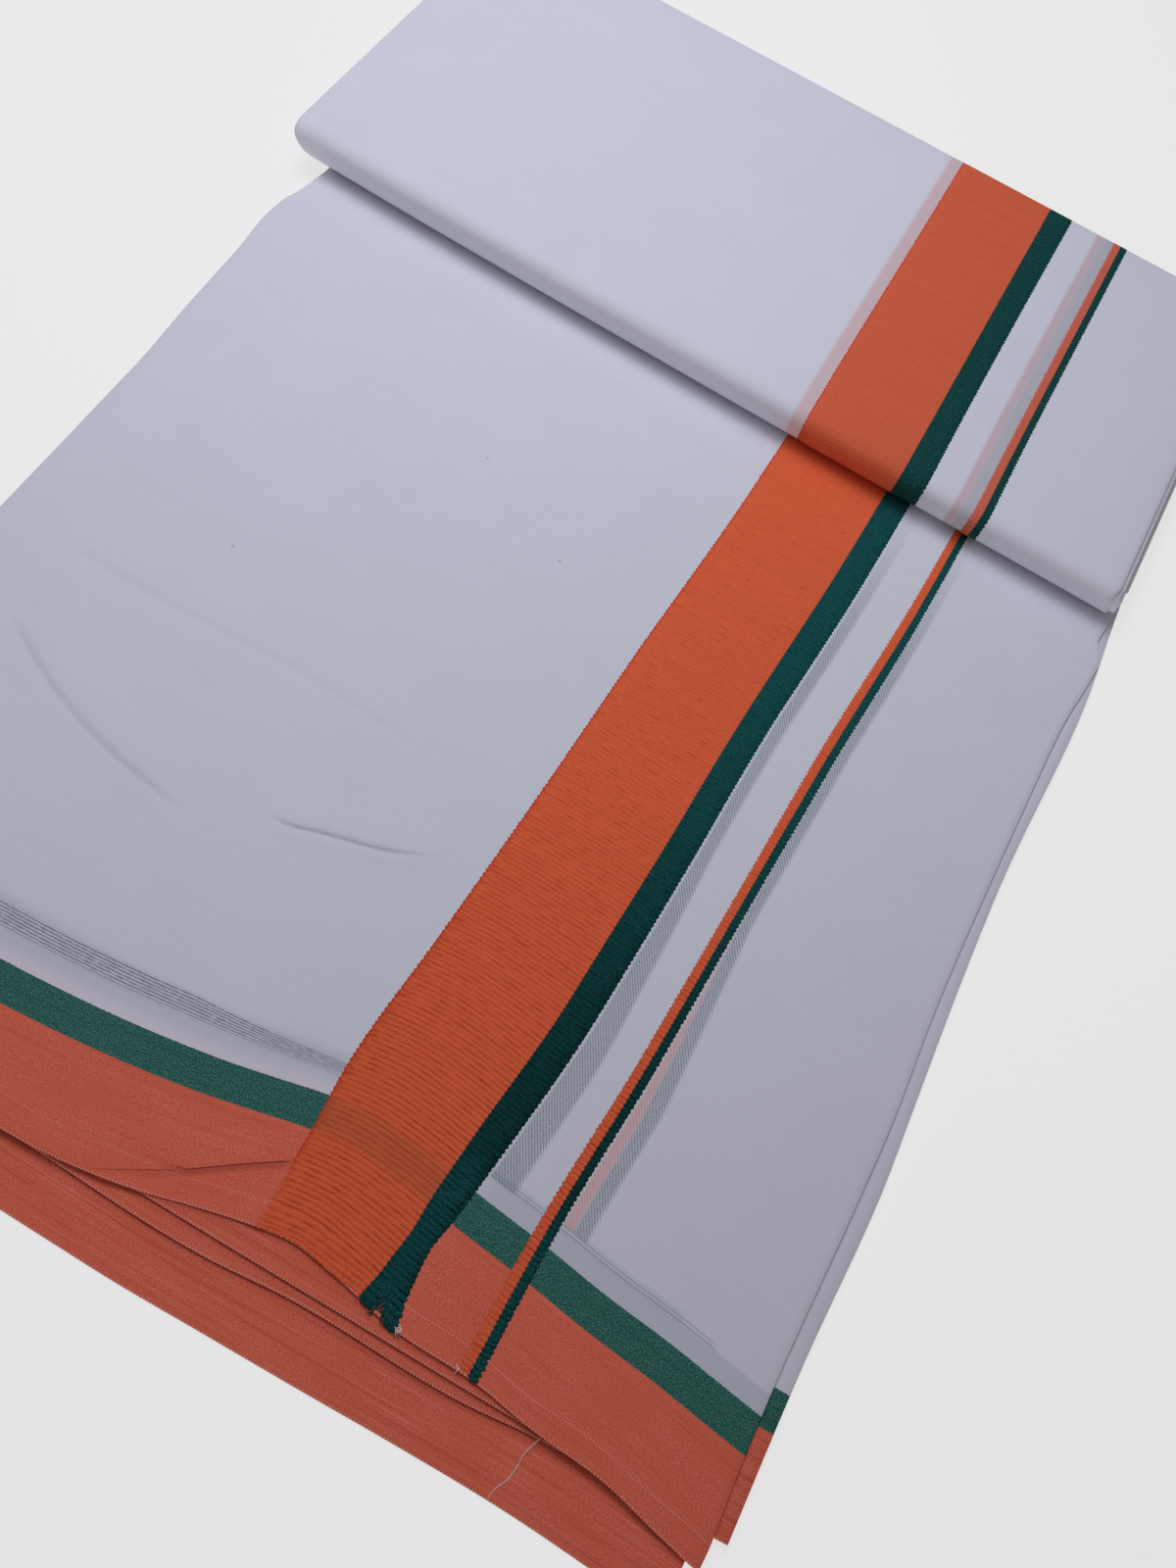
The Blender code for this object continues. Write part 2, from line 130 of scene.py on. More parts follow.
# Old fold lines, each pressed in along a curve: width, height, how much painted shade it gets, then x, y
# pairs
FOLD_LINES = (
    (1.9, -0.45, 0.4, ((-180.0, -145.0), (-145.0, -162.7), (-106.0, -173.7), (-66.0, -178.7))),
    (1.2, -0.5, 0.9, ((-46.0, -162.6), (-31.0, -160.6), (-24.0, -158.2), (6.0, -148.7), (27.0, -138.0))),
    (2.6, -0.2, 0.1, ((-190.0, -108.2), (-128.0, -107.7), (-89.0, -104.7), (-6.0, -105.0))),
)
TUCK = ((-12.0, -299.5), (-6.2, -296.2), (9.2, -287.0), (23.9, -276.3), (38.5, -266.4))


def curve_through(table, column, at):
    """A smooth curve through a table's rows: piecewise cubic, its slopes taken from the rows beside each."""
    rows = np.array(sorted(table), float)
    known, values = rows[:, 0], rows[:, column]
    slope = np.gradient(values, known)
    at = np.clip(at, known[0], known[-1])
    left = np.clip(np.searchsorted(known, at, side="right") - 1, 0, len(known) - 2)
    span = known[left + 1] - known[left]
    t = (at - known[left]) / span
    rise = t * t * (3 - 2 * t)
    lead = (t * (1 - t) ** 2 * slope[left] - t * t * (1 - t) * slope[left + 1]) * span
    return values[left] * (1 - rise) + values[left + 1] * rise + lead


def ease(value, start, end):
    """0 before start, 1 after end, and a smooth rise between them."""
    t = np.clip((value - start) / (end - start), 0.0, 1.0)
    return t * t * (3 - 2 * t)


def cloth_x(lines, y, u):
    """X at each y of the point u along the flat cloth: even between the band lines, and true outside them."""
    guides = np.stack([curve_through(lines, column, y) for column in range(2, 8)])
    x = guides[0] + u
    for i in range(5):
        inside = (u >= CLOTH_LINES[i]) & (u <= CLOTH_LINES[i + 1])
        share = (u - CLOTH_LINES[i]) / (CLOTH_LINES[i + 1] - CLOTH_LINES[i])
        x = np.where(inside, guides[i] * (1 - share) + guides[i + 1] * share, x)
    return np.where(u > THIN_RIGHT, guides[-1] + u - THIN_RIGHT, x)


def cloth_side(lines, y, side):
    """How far along the flat cloth a leaf's left (1) or right (-1) edge lies, at each y."""
    if side == 1:
        return curve_through(lines, 1, y) - curve_through(lines, 2, y)
    return curve_through(lines, 8, y) - curve_through(lines, 7, y) + THIN_RIGHT


def support(x, y):
    """The height under the top leaf: three leaves and their air, less where one ends under it."""
    height = np.full(x.shape, 3 * (LEAF + SEAM))
    for selvedge in (THIRD_SELVEDGE, SECOND_SELVEDGE):
        edge = SELVEDGE_DATUM + curve_through(selvedge, 1, x)
        height -= DROOP * (1 - ease(y, edge + DROOP_START, edge + DROOP_END))
    return height


def swelling_height(x, y):
    """Soft swellings: a bell across each line, fading to nothing at its ends."""
    height = np.zeros(x.shape)
    for x0, y0, x1, y1, width, rise in SWELLINGS:
        run = np.array((x1 - x0, y1 - y0))
        length = np.hypot(*run)
        along = ((x - x0) * run[0] + (y - y0) * run[1]) / length**2
        aside = ((y - y0) * run[0] - (x - x0) * run[1]) / length
        fade = ease(along, -0.05, 0.25) * (1 - ease(along, 0.75, 1.05))
        height += rise * fade * np.exp(-((aside / width) ** 2))
    return height


def fold_line_height(x, y):
    """Fold lines: a narrow trough along each curve, a low ridge beside it, and painted shade along the
    trough.
    """
    height, shade = np.zeros(x.shape), np.zeros(x.shape)
    for width, depth, dark, points in FOLD_LINES:
        start, end = points[0][0], points[-1][0]
        aside = y - curve_through(points, 1, x)
        fade = ease(x, start, start + 16) * (1 - ease(x, end - 30, end))
        trough = depth * np.exp(-((aside / width) ** 2))
        ridge = 0.5 * depth * np.exp(-(((aside + 3.5 * width) / (2.5 * width)) ** 2))
        height += fade * (trough - ridge)
        # painted shade along each fold line, for the cloth attribute's third channel
        shade += fade * dark * np.exp(-((aside / (0.6 * width)) ** 2))
    return height, shade


def tuck_height(x, y):
    """The tucked corner by the wide band: it steps down in front of its fold line and has a groove there."""
    aside = y - curve_through(TUCK, 1, x)
    fade = ease(x, TUCK[0][0], TUCK[1][0] + 8) * (1 - ease(x, TUCK[-1][0] - 1.5, TUCK[-1][0] + 1.0))
    step = -0.6 * (1 - ease(aside, -1.4, 0.4)) * ease(aside, -26.0, -6.0)
    groove = -0.35 * np.exp(-(((aside + 0.8) / 0.9) ** 2))
    return fade * (step + groove)


def top_leaf_point(u, b, rise):
    """The top leaf at u along and b up the cloth, rise millimetres over its middle: x, y and z."""
    straight = SELVEDGE_DATUM + b
    x = cloth_x(TOP_LEAF_LINES, straight, u)
    selvedge = curve_through(TOP_SELVEDGE, 1, x)
    border = curve_through(TOP_SELVEDGE, 2, x) - BORDER_ORANGE
    share = np.clip(b / BORDER_ORANGE, 0, 1)
    y = straight + (selvedge * (1 - share) + border * share) * (1 - ease(b, WAVER_START, WAVER_END))
    relief = swelling_height(x, y) + fold_line_height(x, y)[0] + tuck_height(x, y)
    z = support(x, y) + relief + LEAF / 2 + rise
    return x, y, z


def metres(x, y, z):
    """Points in the tables' frame, in millimetres, as metres in the part's frame."""
    return np.stack((x - MIDDLE[0], y - MIDDLE[1], z), axis=-1) * 0.001


def steps(*stretches):
    """Numbers from the first start to the last end: each stretch is (start, end, number of steps)."""
    parts = [np.linspace(start, end, count + 1)[:-1] for start, end, count in stretches]
    return np.append(np.concatenate(parts), stretches[-1][1])


def in_scene(name, data):
    """A new object for a mesh, a light or a camera, linked to the scene."""
    made = bpy.data.objects.new(name, data)
    scene.collection.objects.link(made)
    return made


def closed_sheet(name, top, bottom, cloth, rim):
    """A closed shell from two grids of points and a rim between them.

    top, bottom and cloth are (rows, columns, 3) arrays. The rim has a ring for each (share, out) pair: share
    of the way from top to bottom, and out millimetres beyond the edge.
    """
    rows, columns = top.shape[:2]
    number = np.arange(rows * columns).reshape(rows, columns)
    loop = np.concatenate([number[0, :-1], number[:-1, -1], number[-1, :0:-1], number[:0:-1, 0]])
    middle = (top + bottom) / 2
    outward = np.zeros_like(middle)
    outward[0] += middle[0] - middle[1]
    outward[-1] += middle[-1] - middle[-2]
    outward[:, 0] += middle[:, 0] - middle[:, 1]
    outward[:, -1] += middle[:, -1] - middle[:, -2]
    top, bottom, outward, cloth = (grid.reshape(-1, 3) for grid in (top, bottom, outward, cloth))
    reach = outward[loop] / np.linalg.norm(outward[loop], axis=1, keepdims=True)
    rings = [top[loop] * (1 - share) + bottom[loop] * share + reach * out * 0.001 for share, out in rim]
    size, around = len(top), len(loop)
    ids = [loop] + [2 * size + i * around + np.arange(around) for i in range(len(rim))] + [size + loop]
    quads = np.stack([number[:-1, :-1], number[:-1, 1:], number[1:, 1:], number[1:, :-1]], axis=-1)
    quads = quads.reshape(-1, 4)
    faces = [quads, quads[:, ::-1] + size]
    for upper, lower in zip(ids, ids[1:]):
        faces.append(np.stack([upper, lower, np.roll(lower, -1), np.roll(upper, -1)], axis=-1))
    faces = np.concatenate(faces).astype(np.int32)
    points = np.concatenate([top, bottom, *rings])
    marks = np.concatenate([cloth, cloth] + [cloth[loop]] * len(rim))
    mesh = bpy.data.meshes.new(name)
    mesh.vertices.add(len(points))
    mesh.vertices.foreach_set("co", points.ravel())
    mesh.loops.add(faces.size)
    mesh.loops.foreach_set("vertex_index", faces.ravel())
    mesh.polygons.add(len(faces))
    mesh.polygons.foreach_set("loop_start", np.arange(len(faces)) * 4)
    mesh.attributes.new("cloth", "FLOAT_VECTOR", "POINT").data.foreach_set("vector", marks.ravel())
    mesh.update(calc_edges=True)
    mesh.shade_smooth()
    return in_scene(name, mesh)


# A double leaf's edge: its two plies round out, with a groove between them
DOUBLE_RIM = (
    (0.08, 0.12), (0.25, 0.28), (0.42, 0.15), (0.5, -0.25), (0.58, 0.15), (0.75, 0.28), (0.92, 0.12)
)


class Graph:
    """A short way to add shader nodes to a tree. A socket is given a number, a colour or a link."""

    def __init__(self, tree):
        self.tree = tree

    def node(self, kind, inputs=(), **settings):
        made = self.tree.nodes.new(kind)
        for name, value in settings.items():
            setattr(made, name, value)
        for key, value in dict(inputs).items():
            socket = made.inputs[key]
            if isinstance(value, bpy.types.NodeSocket):
                self.tree.links.new(value, socket)
            else:
                socket.default_value = value
        return made

    def maths(self, operation, *values):
        return self.node("ShaderNodeMath", dict(enumerate(values)), operation=operation).outputs[0]

    def product(self, first, *others):
        for value in others:
            first = self.maths("MULTIPLY", first, value)
        return first

    def about_half(self, value, gain, base):
        """Base plus gain times how far the value lies from a half."""
        return self.maths("MULTIPLY_ADD", self.maths("SUBTRACT", value, 0.5), gain, base)

    def parts(self, vector):
        return self.node("ShaderNodeSeparateXYZ", {0: vector}).outputs

    def mix(self, factor, first, second):
        return self.node("ShaderNodeMix", {0: factor, 6: first, 7: second}, data_type="RGBA").outputs[2]

    def layered(self, base, *layers):
        """The base with each (share, colour) laid over it in turn."""
        for share, colour in layers:
            base = self.mix(share, base, colour)
        return base

    def scaled(self, colour, tone):
        return self.node("ShaderNodeVectorMath", {0: colour, "Scale": tone}, operation="SCALE").outputs[0]

    def group(self, tree, inputs):
        return self.node("ShaderNodeGroup", inputs, node_tree=tree).outputs

    def cloth(self):
        return self.node("ShaderNodeAttribute", attribute_name="cloth").outputs["Vector"]

    def rise(self, value, start, end, low=0.0, high=1.0):
        """Low before start, high after end, and a smooth rise between them."""
        inputs = {0: value, 1: start, 2: end, 3: low, 4: high}
        return self.node("ShaderNodeMapRange", inputs, interpolation_type="SMOOTHSTEP").outputs[0]

    def slope(self, value, start, end, low, high):
        """Low before start, high after end, and a straight line between them."""
        inputs = {"Value": value, "From Min": start, "From Max": end, "To Min": low, "To Max": high}
        return self.node("ShaderNodeMapRange", inputs).outputs[0]

    def between(self, value, start, end, soft_start, soft_end):
        """1 from start to end and 0 outside, with a soft edge of its own width at each."""
        edges = []
        for at, soft, before in ((start, soft_start, 0.0), (end, soft_end, 1.0)):
            foot, head = self.maths("SUBTRACT", at, soft), self.maths("ADD", at, soft)
            edges.append(self.rise(value, foot, head, before, 1.0 - before))
        return self.product(*edges)

    def noise(self, vector, scale, detail=2.0):
        """Noise of about one blot to each (x, y, z) of scale, in the vector's units, from 0 to 1."""
        inverse = tuple(1.0 / s for s in scale)
        moved = self.node("ShaderNodeMapping", {"Vector": vector, "Scale": inverse}, vector_type="POINT")
        inputs = {"Vector": moved.outputs[0], "Scale": 1.0, "Detail": detail, "Roughness": 0.5}
        return self.node("ShaderNodeTexNoise", inputs).outputs[0]


def srgb(red, green, blue):
    """A linear RGBA colour from 0 to 255 display values."""
    shares = np.array((red, green, blue)) / 255.0
    linear = np.where(shares <= 0.04045, shares / 12.92, ((shares + 0.055) / 1.055) ** 2.4)
    return (*linear.tolist(), 1.0)


def new_group(name, inputs, outputs):
    """A node group with named sockets: the group, its graph, its input sockets and its output node."""
    group = bpy.data.node_groups.new(name, "ShaderNodeTree")
    for socket, kind, value in inputs:
        made = group.interface.new_socket(socket, in_out="INPUT", socket_type=kind)
        if value is not None:
            made.default_value = value
    for socket, kind in outputs:
        group.interface.new_socket(socket, in_out="OUTPUT", socket_type=kind)
    graph = Graph(group)
    return group, graph, graph.node("NodeGroupInput").outputs, graph.node("NodeGroupOutput").inputs


FLOAT, VECTOR, COLOUR = "NodeSocketFloat", "NodeSocketVector", "NodeSocketColor"


def make_weave_group():
    """Plain weave: fine threads both ways with slubs, as a tone about 1 and a height from 0 to 1."""
    group, g, given, out = new_group(
        "plain_weave", [("Cloth", VECTOR, None)], [("Tone", FLOAT), ("Height", FLOAT)]
    )
    warp = g.noise(given["Cloth"], (5.0, 0.33, 4.0))
    weft = g.noise(given["Cloth"], (0.33, 5.0, 4.0))
    slub = g.noise(given["Cloth"], (60.0, 1.1, 50.0), 1.0)
    cloud = g.noise(given["Cloth"], (38.0, 30.0, 50.0), 2.0)
    crossed = g.maths("MULTIPLY", g.maths("ADD", warp, weft), 0.5)
    tone = g.about_half(crossed, 0.10, 1.0)
    tone = g.about_half(slub, 0.05, tone)
    tone = g.about_half(cloud, 0.05, tone)
    g.tree.links.new(tone, out["Tone"])
    g.tree.links.new(crossed, out["Height"])
    return group


plain_weave = make_weave_group()
DOT_PITCH = 1.25


def make_border_group():
    """The warp border and the white above it: a heathered orange stripe and a green one, with light dots."""
    group, g, given, out = new_group(
        "warp_border",
        [
            ("Cloth", VECTOR, None),
            ("White", COLOUR, (1, 1, 1, 1)),
            ("Dots", FLOAT, 1.0),
            ("Streaks", FLOAT, 1.0),
        ],
        [("Colour", COLOUR)],
    )
    u, v, _ = g.parts(given["Cloth"])
    grain = g.noise(given["Cloth"], (0.7, 0.32, 3.0), 1.0)
    cross = g.noise(given["Cloth"], (0.32, 0.62, 3.0), 1.0)
    streak = g.noise(given["Cloth"], (90.0, 1.6, 9.0), 1.0)
    fine_streak = g.noise(given["Cloth"], (45.0, 0.5, 7.0), 0.0)
    mottle = g.noise(given["Cloth"], (26.0, 13.0, 9.0), 2.0)
    ragged = g.about_half(grain, 0.7, v)
    dark_streak = g.product(g.rise(streak, 0.48, 0.72, 0.0, 0.5), given["Streaks"])
    light_streak = g.product(g.rise(fine_streak, 0.58, 0.75, 0.0, 0.35), given["Streaks"])
    orange = g.layered(
        srgb(212, 90, 65),
        (g.rise(grain, 0.38, 0.62), srgb(232, 121, 98)),
        (g.rise(cross, 0.56, 0.72, 0.0, 0.4), srgb(246, 176, 164)),
        (g.rise(cross, 0.28, 0.44, 0.4, 0.0), srgb(196, 74, 52)),
        (g.rise(mottle, 0.4, 0.62, 0.0, 0.3), srgb(220, 98, 66)),
        (dark_streak, srgb(190, 78, 54)),
        (light_streak, srgb(240, 146, 122)),
    )
    green = g.layered(
        srgb(20, 80, 70),
        (g.rise(grain, 0.38, 0.62), srgb(56, 116, 104)),
        (g.rise(cross, 0.54, 0.66, 0.0, 0.6), srgb(134, 162, 158)),
        (g.rise(cross, 0.32, 0.44, 0.5, 0.0), srgb(12, 58, 52)),
        (dark_streak, srgb(20, 74, 66)),
    )
    colour = g.layered(
        orange,
        (g.rise(ragged, BORDER_ORANGE - 0.15, BORDER_ORANGE + 0.15), green),
        (g.rise(ragged, BORDER_GREEN - 0.15, BORDER_GREEN + 0.15), given["White"]),
    )
    dots = g.rise(g.maths("SINE", g.product(u, 2 * np.pi / DOT_PITCH)), -0.1, 0.5)
    wavy = g.maths("MULTIPLY_ADD", g.maths("SINE", g.product(u, 0.13)), 0.5, v)
    wavy = g.maths("SUBTRACT", wavy, g.slope(u, -62.0, -16.0, 2.2, 0.0))
    first_row = g.between(wavy, 7.8, 8.2, 0.12, 0.12)
    second_row = g.between(wavy, 9.0, 9.3, 0.12, 0.12)
    clumps = g.product(g.rise(mottle, 0.3, 0.55, 0.3, 1.0), g.slope(u, -60.0, 66.0, 0.4, 0.8))
    rows = g.product(g.maths("MULTIPLY_ADD", second_row, 0.5, first_row), given["Dots"], clumps)
    # A light dotted line along the selvedge's very edge, partly its pale edge threads and partly a painted
    # highlight on the rounded edge, plus the rows of light dots.
    edge = g.maths("ADD", g.rise(v, 0.1, 0.6, 0.8, 0.0), rows)
    colour = g.mix(g.product(edge, dots, 0.85), colour, srgb(244, 178, 166))
    g.tree.links.new(colour, out["Colour"])
    return group


warp_border = make_border_group()
WHITE = srgb(216, 217, 228)
STROKE_PITCH = 1.8
DASHED_LINES = 7


def show_through(g, cloth, base, ghosts):
    """The base colour with ghosts over it: the stripes and ribs of plies below that show through.

    Each ghost is (axis, start, end, soft start, soft end, low end, high end, colour, strength, hatch): a
    stretch along axis 0 or 1 that runs from the low end to the high end of the other axis. A start or end
    that drifts is (from, to, value at from, value at to) over the other axis. hatch is how much of it is
    broken: into slanting strokes on axis 0, and into fine dashed lines on axis 1.
    """
    split = g.parts(cloth)
    slant = g.maths("MULTIPLY_ADD", split[0], 1.3, split[1])
    strokes = g.maths("SINE", g.product(slant, 2 * np.pi / STROKE_PITCH))
    stipple = g.noise(cloth, (0.5, 0.45, 4.0), 0.0)
    dashes = g.noise(cloth, (2.6, 0.5, 4.0), 1.0)
    for axis, start, end, soft_start, soft_end, low, high, tint, strength, hatch in ghosts:
        main, other = split[axis], split[1 - axis]
        start, end = (g.slope(other, *edge) if isinstance(edge, tuple) else edge for edge in (start, end))
        fade_low, fade_high = (0.5, 60.0) if axis == 0 else (6.0, 2.0)
        share = g.product(g.between(other, low, high, fade_low, fade_high), strength)
        if hatch:
            across = g.maths("DIVIDE", g.maths("SUBTRACT", main, start), g.maths("SUBTRACT", end, start))
            wave = g.maths("SINE", g.product(across, DASHED_LINES * 2 * np.pi)) if axis else strokes
            dash = g.rise(g.about_half(dashes if axis else stipple, 3.4, wave), -0.3, 0.7)
            share = g.product(share, g.maths("MULTIPLY_ADD", dash, hatch, 1.0 - hatch))
            if axis == 0:
                main = g.maths("MULTIPLY_ADD", strokes, -0.45, main)
        stripe = g.between(main, start, end, soft_start, soft_end)
        base = g.mix(g.product(share, stripe), base, tint)
    return base


def new_material(name, roughness, specular):
    """A material of this roughness and specular: itself, its graph and its shader's inputs."""
    material = bpy.data.materials.new(name)
    material.use_nodes = True
    graph = Graph(material.node_tree)
    shader = graph.tree.nodes["Principled BSDF"].inputs
    shader["Roughness"].default_value = roughness
    shader["Specular IOR Level"].default_value = specular
    return material, graph, shader


def weave_surface(g, shader, colour, height, strength):
    """Links the colour, and a bump of this strength from the threads' height."""
    g.tree.links.new(colour, shader["Base Color"])
    bump = g.node("ShaderNodeBump", {"Strength": strength, "Distance": 0.0001, "Height": height})
    g.tree.links.new(bump.outputs[0], shader["Normal"])


def cotton_material(name, ghosts=(), marks=(), specks=(), dots=0.0, streaks=1.0):
    """White cotton with its border: ghosts show through the white ground, and marks lie over all of it."""
    material, g, shader = new_material(name, 0.88, 0.1)
    cloth = g.cloth()
    weave = g.group(plain_weave, {"Cloth": cloth})
    white = show_through(g, cloth, WHITE, ghosts)
    for speck in specks:
        inputs = {0: cloth, 1: (*speck, 0.0)}
        away = g.node("ShaderNodeVectorMath", inputs, operation="DISTANCE").outputs["Value"]
        white = g.mix(g.rise(away, 0.25, 0.6, 0.6, 0.0), white, srgb(70, 66, 74))
    inputs = {"Cloth": cloth, "White": white, "Dots": dots, "Streaks": streaks}
    border = g.group(warp_border, inputs)[0]
    marked = show_through(g, cloth, border, marks)
    # Painted shade: the cloth attribute's third channel darkens all of the cloth's colour.
    shade = g.parts(cloth)[2]
    tone = g.product(g.maths("MULTIPLY_ADD", shade, -0.4, 1.0), weave["Tone"])
    weave_surface(g, shader, g.scaled(marked, tone), weave["Height"], 0.35)
    return material


def dress(piece, material):
    """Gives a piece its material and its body."""
    piece.data.materials.append(material)
    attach(piece, "root")


PINK_GHOST = srgb(218, 176, 178)
GREY_GHOST = srgb(150, 166, 172)
DIM_GHOST = srgb(176, 180, 190)
STROKE_GHOST = srgb(96, 106, 116)
past_wide = (110.0, 210.0, 77.6, 72.6)
past_orange, past_thin = (100.0, 190.0, 101.8, 96.8), (110.0, 190.0, 107.3, 101.2)
top_ghosts = (
    (1, 49.0, 54.5, 0.5, 3.0, -320.0, 2.0, srgb(224, 204, 216), 0.4, 0.0),
    (1, 54.5, (-150.0, 0.0, 71.0, 66.0), 3.0, 2.5, -320.0, 2.0, GREY_GHOST, 0.3, 0.0),
    (1, (-60.0, 0.0, 60.2, 58.2), (-60.0, 0.0, 68.2, 62.8), 1.6, 0.3, -320.0, 2.0, STROKE_GHOST, 0.75, 1.0),
    (1, 49.5, 57.6, 0.5, 0.9, 66.0, 200.0, DIM_GHOST, 0.5, 0.0),
    (0, 66.9, past_wide, 0.4, 0.9, 57.5, 370.0, GREY_GHOST, 0.46, 0.2),
    (0, 67.2, past_wide, 0.4, 1.2, 57.5, 370.0, STROKE_GHOST, 0.6, 1.0),
    (0, 97.2, past_orange, 0.4, 0.8, 59.5, 230.0, PINK_GHOST, 0.7, 0.2),
    (0, 97.4, past_orange, 0.4, 0.8, 59.5, 230.0, srgb(206, 116, 116), 0.4, 1.0),
    (0, past_orange, past_thin, 0.5, 0.8, 59.5, 370.0, GREY_GHOST, 0.46, 0.2),
    (0, past_orange, past_thin, 0.5, 1.0, 59.5, 370.0, STROKE_GHOST, 0.6, 1.0),
    (1, 57.7, 58.3, 0.2, 0.2, 66.0, 164.0, STROKE_GHOST, 0.45, 0.0),
    (1, 59.1, 59.6, 0.2, 0.2, 66.0, 164.0, STROKE_GHOST, 0.4, 0.0),
    (1, 57.0, 61.0, 1.2, 1.2, 66.0, 150.0, GREY_GHOST, 0.25, 0.0),
)
# Dark red-brown for the tuck's painted shade.
TUCK_SHADE = srgb(112, 34, 24)
tuck_low, tuck_high = (-58.0, -30.0, 1.0, 10.6), (-30.0, 0.0, 10.6, 24.0)


def moved(edge, by):
    """A drifting start or end, moved up the cloth."""
    return (*edge[:2], edge[2] + by, edge[3] + by)


# The tuck's painted shade: a dark line along its fold, and a soft painted shadow on the flap just in front of
# it.
top_painted_shade = (
    (1, tuck_low, moved(tuck_low, 0.5), 0.3, 0.3, -56.0, -33.0, TUCK_SHADE, 0.6, 0.0),
    (1, tuck_high, moved(tuck_high, 0.5), 0.25, 0.25, -33.0, -1.0, TUCK_SHADE, 1.0, 0.0),
    (1, moved(tuck_high, -2.0), tuck_high, 1.6, 0.3, -36.0, -1.0, TUCK_SHADE, 0.22, 0.0),
)
top_specks = ((-106.4, 319.0), (-51.2, 291.5), (-167.4, 217.2))


def make_top_leaf():
    """The top leaf on a grid of lines along and across its cloth, closest where it is creased."""
    leaf_end = LEAF_END - SELVEDGE_DATUM
    rows = steps(
        (0.0, 0.5, 1),
        (0.5, 34.0, 32),
        (34.0, 105.0, 26),
        (105.0, 190.0, 94),
        (190.0, 430.0, 76),
        (430.0, leaf_end, 17),
    )
    inner = steps(
        (WIDE_LEFT, WIDE_CHANGE, 16),
        (WIDE_CHANGE, WIDE_RIGHT, 4),
        (WIDE_RIGHT, THIN_LEFT, 8),
        (THIN_LEFT, THIN_RIGHT, 2),
    )
    straight = SELVEDGE_DATUM + rows
    shares = steps((1.0, 0.22, 74), (0.22, 0.0, 46))[:-1]
    b = np.repeat(rows[:, None], len(shares) + len(inner) + 28, axis=1)
    left = cloth_side(TOP_LEAF_LINES, straight, 1)[:, None] * shares[None, :]
    reach = cloth_side(TOP_LEAF_LINES, straight, -1)[:, None] - THIN_RIGHT
    right = THIN_RIGHT + reach * np.linspace(0, 1, 29)[None, 1:]
    u = np.concatenate([left, np.repeat(inner[None, :], len(rows), axis=0), right], axis=1)
    x, y, z = top_leaf_point(u, b, LEAF / 2)
    bottom = metres(*top_leaf_point(u, b, -LEAF / 2))
    # the third channel carries the fold lines' painted shade
    cloth = np.stack((u, b, fold_line_height(x, y)[1]), axis=-1)
    top = metres(x, y, z)
    return closed_sheet("top_leaf_cloth", top, bottom, cloth, DOUBLE_RIM)


top_cloth = make_top_leaf()
top_material = cotton_material("white_cotton_top", top_ghosts, top_painted_shade, top_specks, 1.0, 0.45)
dress(top_cloth, top_material)
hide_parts("top_leaf")

# ---------------------------------------------------------------- woven bands on the top leaf
# The wide orange and green band and the thin one: heavy coloured weft packed over bunched warp threads, so
# that it stands up in close ribs. Its edge is scalloped where the weft turns back at each rib.

RIB_PITCH = 2.0
BAND_SINK = 0.3
BAND_RIM = ((0.15, 0.06), (0.5, 0.1))


def rib_rows(start, end):
    """Rows from start to end, four to a rib, and how high each stands: 0 in a groove and 1 on a crest."""
    count = int(round((end - start) / RIB_PITCH)) * 4
    rows = np.linspace(start, end, count + 1)
    return rows, (0.5 - 0.5 * np.cos(2 * np.pi * rows / RIB_PITCH)) ** 0.7


def make_band(name, u0, u1, columns, ribs, point, height, contrast, scallop, turned=1):
    """A closed ribbed strip over the cloth from u0 to u1, whose sides go in and out with its ribs.

    ribs holds its rows and how high each stands, and point(u, b, rise) places the cloth. The strip stands
    from BAND_SINK under the surface to height over it, and contrast is how much painted shade its grooves
    get.
    turned is -1 where the cloth runs the other way, so that the faces look out there too.
    """
    rows, crest = ribs
    share = np.linspace(0, 1, columns)[None, :]
    unevenness = np.sin(rows * 2.1 + 3 * np.sin(rows * 0.37))[:, None]
    wave = scallop * (crest[:, None] - 0.5) + 0.25 * scallop * unevenness
    u = (u0 - wave) * (1 - share) + (u1 + wave) * share
    b = np.repeat(rows[:, None], columns, axis=1)
    side = np.minimum(share, 1 - share) * (u1 - u0)
    rounded = ease(side, -0.2, 0.8)
    wander = 0.12 * np.sin(u * 0.9 + b * 0.31) * np.sin(b * 0.53 - u * 0.21)
    relief = crest[:, None] * (1 + wander) * rounded
    rise = LEAF / 2 + height(b) * relief + 0.06
    top = metres(*point(u, b, rise))
    bottom = metres(*point(u, b, np.full_like(u, LEAF / 2 - BAND_SINK)))
    # The third channel is 1 on a crest and less in a groove, setting the painted shade in the grooves.
    cloth = np.stack((u, b, 1 - (1 - relief) * contrast(b)), axis=-1)
    return closed_sheet(name, *(grid[:, ::turned] for grid in (top, bottom, cloth)), BAND_RIM)


